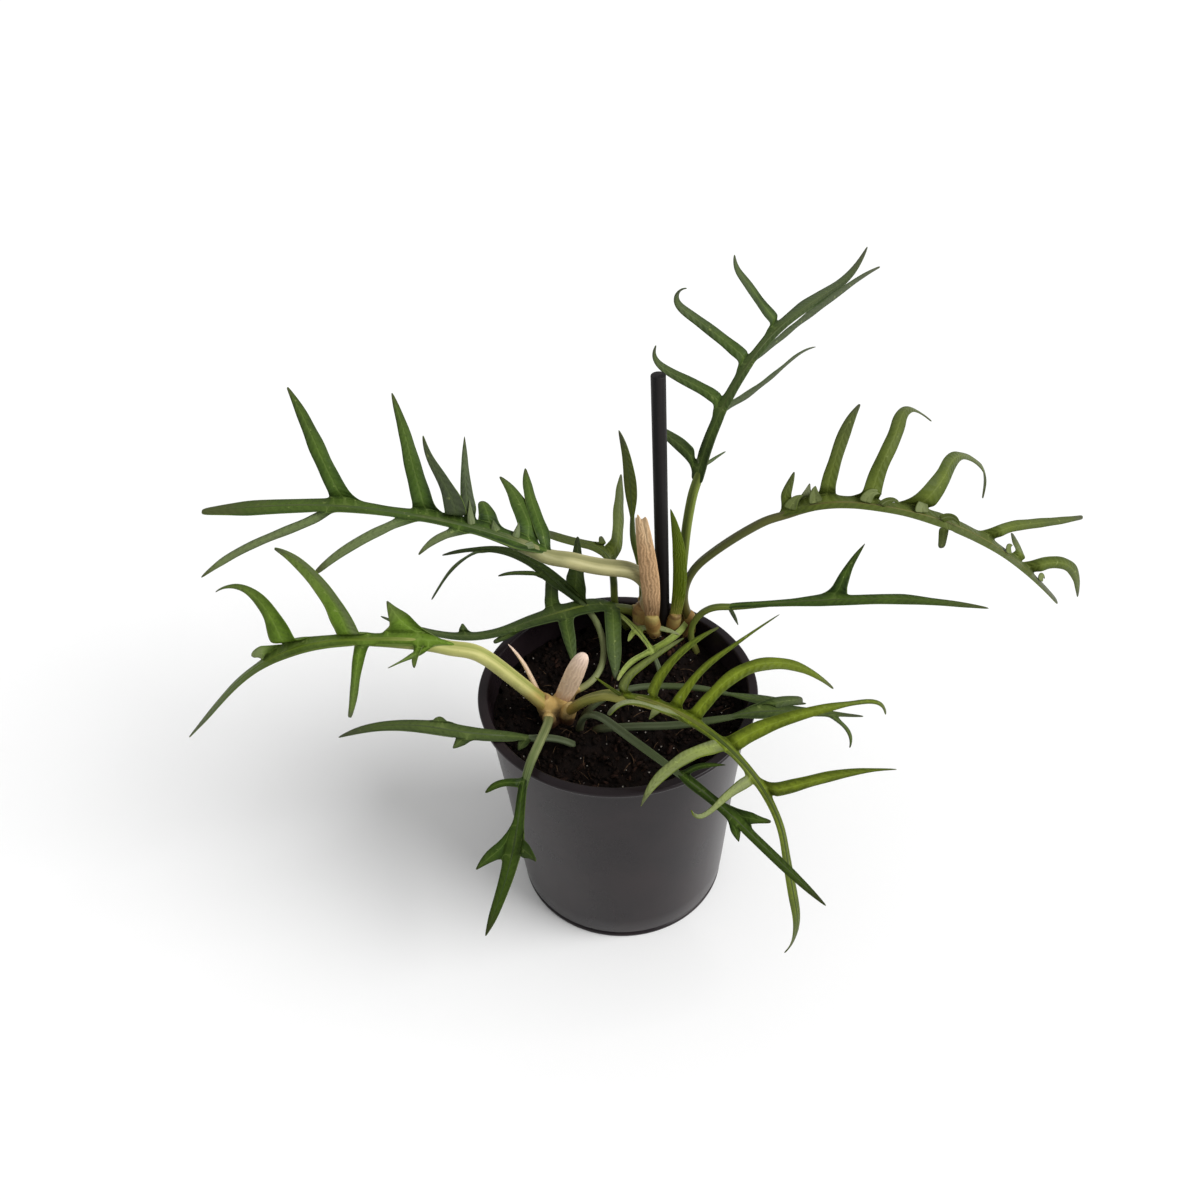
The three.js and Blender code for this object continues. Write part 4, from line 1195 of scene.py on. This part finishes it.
POT_SIDES = 144
POT_PROFILE = [
    (0.0, 0.6), (44.0, 0.6), (44.6, 0.0), (47.0, 0.0), (47.5, 0.5), (47.5, 2.0), (46.6, 2.4), (46.5, 3.2),
    (47.7, 3.8), (48.6, 14.0), (52.0, 60.0), (56.6, 108.0), (57.0, 111.8), (57.4, 112.8), (59.5, 112.8),
    (60.0, 113.3), (60.0, 114.4), (59.5, 115.0), (56.3, 115.0), (55.7, 114.5), (55.3, 111.5), (50.7, 62.0),
    (45.4, 6.0), (43.0, 3.0), (0.0, 3.0),
]


def round_edges(made, width, segments, sharpest):
    """Bevels the edges that turn by more than an angle in degrees."""
    edges = made.modifiers.new("edges", "BEVEL")
    edges.width = width * MM
    edges.segments = segments
    edges.limit_method = "ANGLE"
    edges.angle_limit = math.radians(sharpest)


def make_pot():
    bm = bmesh.new()
    spine = [bm.verts.new((r * MM, 0, z * MM)) for r, z in POT_PROFILE]
    edges = [bm.edges.new(pair) for pair in zip(spine, spine[1:])]
    bmesh.ops.spin(bm, geom=spine + edges, axis=UP, cent=(0, 0, 0), dvec=(0, 0, 0), angle=TURN,
                   steps=POT_SIDES, use_merge=True, use_duplicate=False)
    bmesh.ops.remove_doubles(bm, verts=bm.verts[:], dist=1e-6)
    bmesh.ops.recalc_face_normals(bm, faces=bm.faces[:])
    round_edges(piece("pot", bm, [pot_finish()], ("pot",)), 0.35, 2, 25)


# The soil's bed: its edge at the pot's wall, the skirt below it, and how far loose grains keep from the wall.
SOIL_EDGE = 54.2
SOIL_SKIRT = 8
SOIL_SIDES = 132
SOIL_RINGS = 44
WALL_GAP = 2.5

# The heap of soil round the back crown.
MOUND = (22, 40)
MOUND_HEIGHT = 14
MOUND_TOP = 4
MOUND_REACH = 20
MOUND_CRUMBS_REACH = 13


def soil_height(x, y):
    inner = 1 - smooth(math.hypot(x, y), SOIL_EDGE - 10, SOIL_EDGE)
    wave = math.sin(x / 7.5 + 0.6) * math.cos(y / 6) + 0.5 * math.sin((x - y) / 3.7)
    mound = 1 - smooth(math.hypot(x - MOUND[0], y - MOUND[1]), MOUND_TOP, MOUND_REACH)
    rough = noise.fractal(Vector((x, y, 3)) * 0.35, 1.0, 2.1, 4) * 1.1
    return SOIL_LEVEL + 1.3 * wave * inner + MOUND_HEIGHT * mound + rough


def make_soil_bed():
    bm = bmesh.new()
    ring = first_ring(bm, SOIL_SIDES, SOIL_EDGE * MM)
    for vertex in ring:
        vertex.co.z = (SOIL_LEVEL - SOIL_SKIRT) * MM
    sizes = [SOIL_EDGE] + [SOIL_EDGE * (1 - i / SOIL_RINGS) for i in range(SOIL_RINGS - 1)]
    for size in sizes:
        ring = pull_ring(bm, ring)
        for i, vertex in enumerate(ring):
            angle = TURN * i / len(ring)
            x, y = size * math.cos(angle), size * math.sin(angle)
            vertex.co = Vector((x, y, soil_height(x, y))) * MM
    cap(bm, ring)
    bmesh.ops.recalc_face_normals(bm, faces=bm.faces[:])
    piece("soil_bed", bm, [soil_finish("soil_dark", "080504", "170e0a")], ("soil",))


def make_soil_grains():
    """Crumbs, bark, pale specks and fibres that lie on the bed."""
    chance = random.Random(41)

    def anywhere():
        angle = chance.uniform(0, TURN)
        radius = (SOIL_EDGE - WALL_GAP) * math.sqrt(chance.random())
        return radius * math.cos(angle), radius * math.sin(angle)

    def on_mound():
        angle = chance.uniform(0, TURN)
        radius = MOUND_CRUMBS_REACH * math.sqrt(chance.random())
        x = MOUND[0] + radius * math.cos(angle)
        y = MOUND[1] + radius * math.sin(angle)
        inward = min(1, (SOIL_EDGE - WALL_GAP) / math.hypot(x, y))
        return x * inward, y * inward

    def scatter(name, count, sizes, stretch, material, where, lift=0.2):
        """Strews grains. lift is the share of its size that a grain's middle stands above the bed."""
        bm = bmesh.new()
        for _ in range(count):
            x, y = where()
            size = chance.uniform(*sizes)
            made = bmesh.ops.create_icosphere(bm, subdivisions=1, radius=size * MM)["verts"]
            for vertex in made:
                vertex.co *= chance.uniform(0.75, 1.2)
            bmesh.ops.scale(bm, vec=stretch, verts=made)
            turn = Matrix.Rotation(chance.uniform(*ANY_TURN), 4, "Z")
            tilt = Matrix.Rotation(chance.uniform(-0.6, 0.6), 4, "Y")
            bmesh.ops.transform(bm, matrix=turn @ tilt, verts=made)
            place = Vector((x, y, soil_height(x, y) + size * lift)) * MM
            bmesh.ops.translate(bm, vec=place, verts=made)
        piece(name, bm, [material], ("soil",))

    crumb = soil_finish("soil_crumb", "080504", "20140e")
    scatter("soil_crumbs", 1600, (0.5, 1.7), (1, 0.8, 0.6), crumb, anywhere)
    scatter("soil_mound_crumbs", 260, (0.5, 1.6), (1, 0.8, 0.7), soil_finish("earth", "170d08", "4a3020"),
            on_mound)
    scatter("soil_bark", 70, (1.4, 2.6), (1.3, 0.5, 0.35), soil_finish("bark", "120a07", "35221a"), anywhere)
    scatter("soil_specks", 120, (0.2, 0.5), (1, 0.9, 0.8), soil_finish("perlite", "77706a", "b5afa5"),
            anywhere, lift=0.7)
    bm = bmesh.new()
    for _ in range(110):
        x, y = (0.92 * place for place in anywhere())
        heading = chance.uniform(0, 360)
        length = chance.uniform(3, 9)
        bend = chance.uniform(-50, 50)
        start = (x, y, soil_height(x, y) + 0.3)
        course = Course(start, length, [heading, heading + bend / 2, heading + bend], [14, 0, -14])
        thin = chance.uniform(0.12, 0.24)
        tube(bm, course, lambda share, thin=thin: thin * (1 - 0.5 * share), sides=5, rows=5)
    piece("soil_fibres", bm, [soil_finish("fibre", "2a1c13", "6a543f")], ("soil",))


STAKE_FOOT = Vector((23.5, 38, 40))
STAKE_TOP = Vector((20, 38, 244))
STAKE_HALF = 3.0


def make_stake():
    bm = bmesh.new()
    course = Path([STAKE_FOOT.lerp(STAKE_TOP, i / 6) for i in range(7)], side=Vector((1, 0, 0)))
    tube(bm, course, lambda share: STAKE_HALF, sides=32, rows=40)
    bmesh.ops.recalc_face_normals(bm, faces=bm.faces[:])
    round_edges(piece("stake", bm, [stake_finish()], ("stake",)), 0.4, 3, 50)


# Studio: a pale floor, even light all round, and a soft key light that falls from the upper right in front.

FLOOR_RADIUS = 3.0
WORLD_STRENGTH = 0.56
KEY_STRENGTH = 3.1
KEY_SOFTNESS = 44
KEY_FALL = (-0.82, 0.3, -0.68)


def make_studio():
    bm = bmesh.new()
    bmesh.ops.create_circle(bm, cap_ends=True, segments=96, radius=FLOOR_RADIUS)
    mesh = bpy.data.meshes.new("floor")
    bm.to_mesh(mesh)
    bm.free()
    floor = bpy.data.objects.new("floor", mesh)
    paper = Finish("floor_paper", Roughness=0.9, Specular_IOR_Level=0.1)
    paper.set("Base Color", paper.blend(paper.clouds(4, 2).step(0.3, 0.7), tint("f4f4f4"), tint("f6f6f6")))
    mesh.materials.append(paper.material)
    bpy.context.collection.objects.link(floor)
    world = bpy.data.worlds.new("studio")
    world.use_nodes = True
    world.node_tree.nodes["Background"].inputs["Color"].default_value = (1, 1, 1, 1)
    world.node_tree.nodes["Background"].inputs["Strength"].default_value = WORLD_STRENGTH
    bpy.context.scene.world = world
    bpy.context.scene.view_settings.view_transform = "Standard"
    sun = bpy.data.objects.new("key", bpy.data.lights.new("key", "SUN"))
    sun.data.energy = KEY_STRENGTH
    sun.data.angle = math.radians(KEY_SOFTNESS)
    sun.rotation_euler = Vector(KEY_FALL).to_track_quat("-Z", "Y").to_euler()
    bpy.context.collection.objects.link(sun)


aim_camera()
make_studio()
make_pot()
make_soil_bed()
make_soil_grains()
make_stake()
make_crowns()
make_sheaths()
make_leaves()
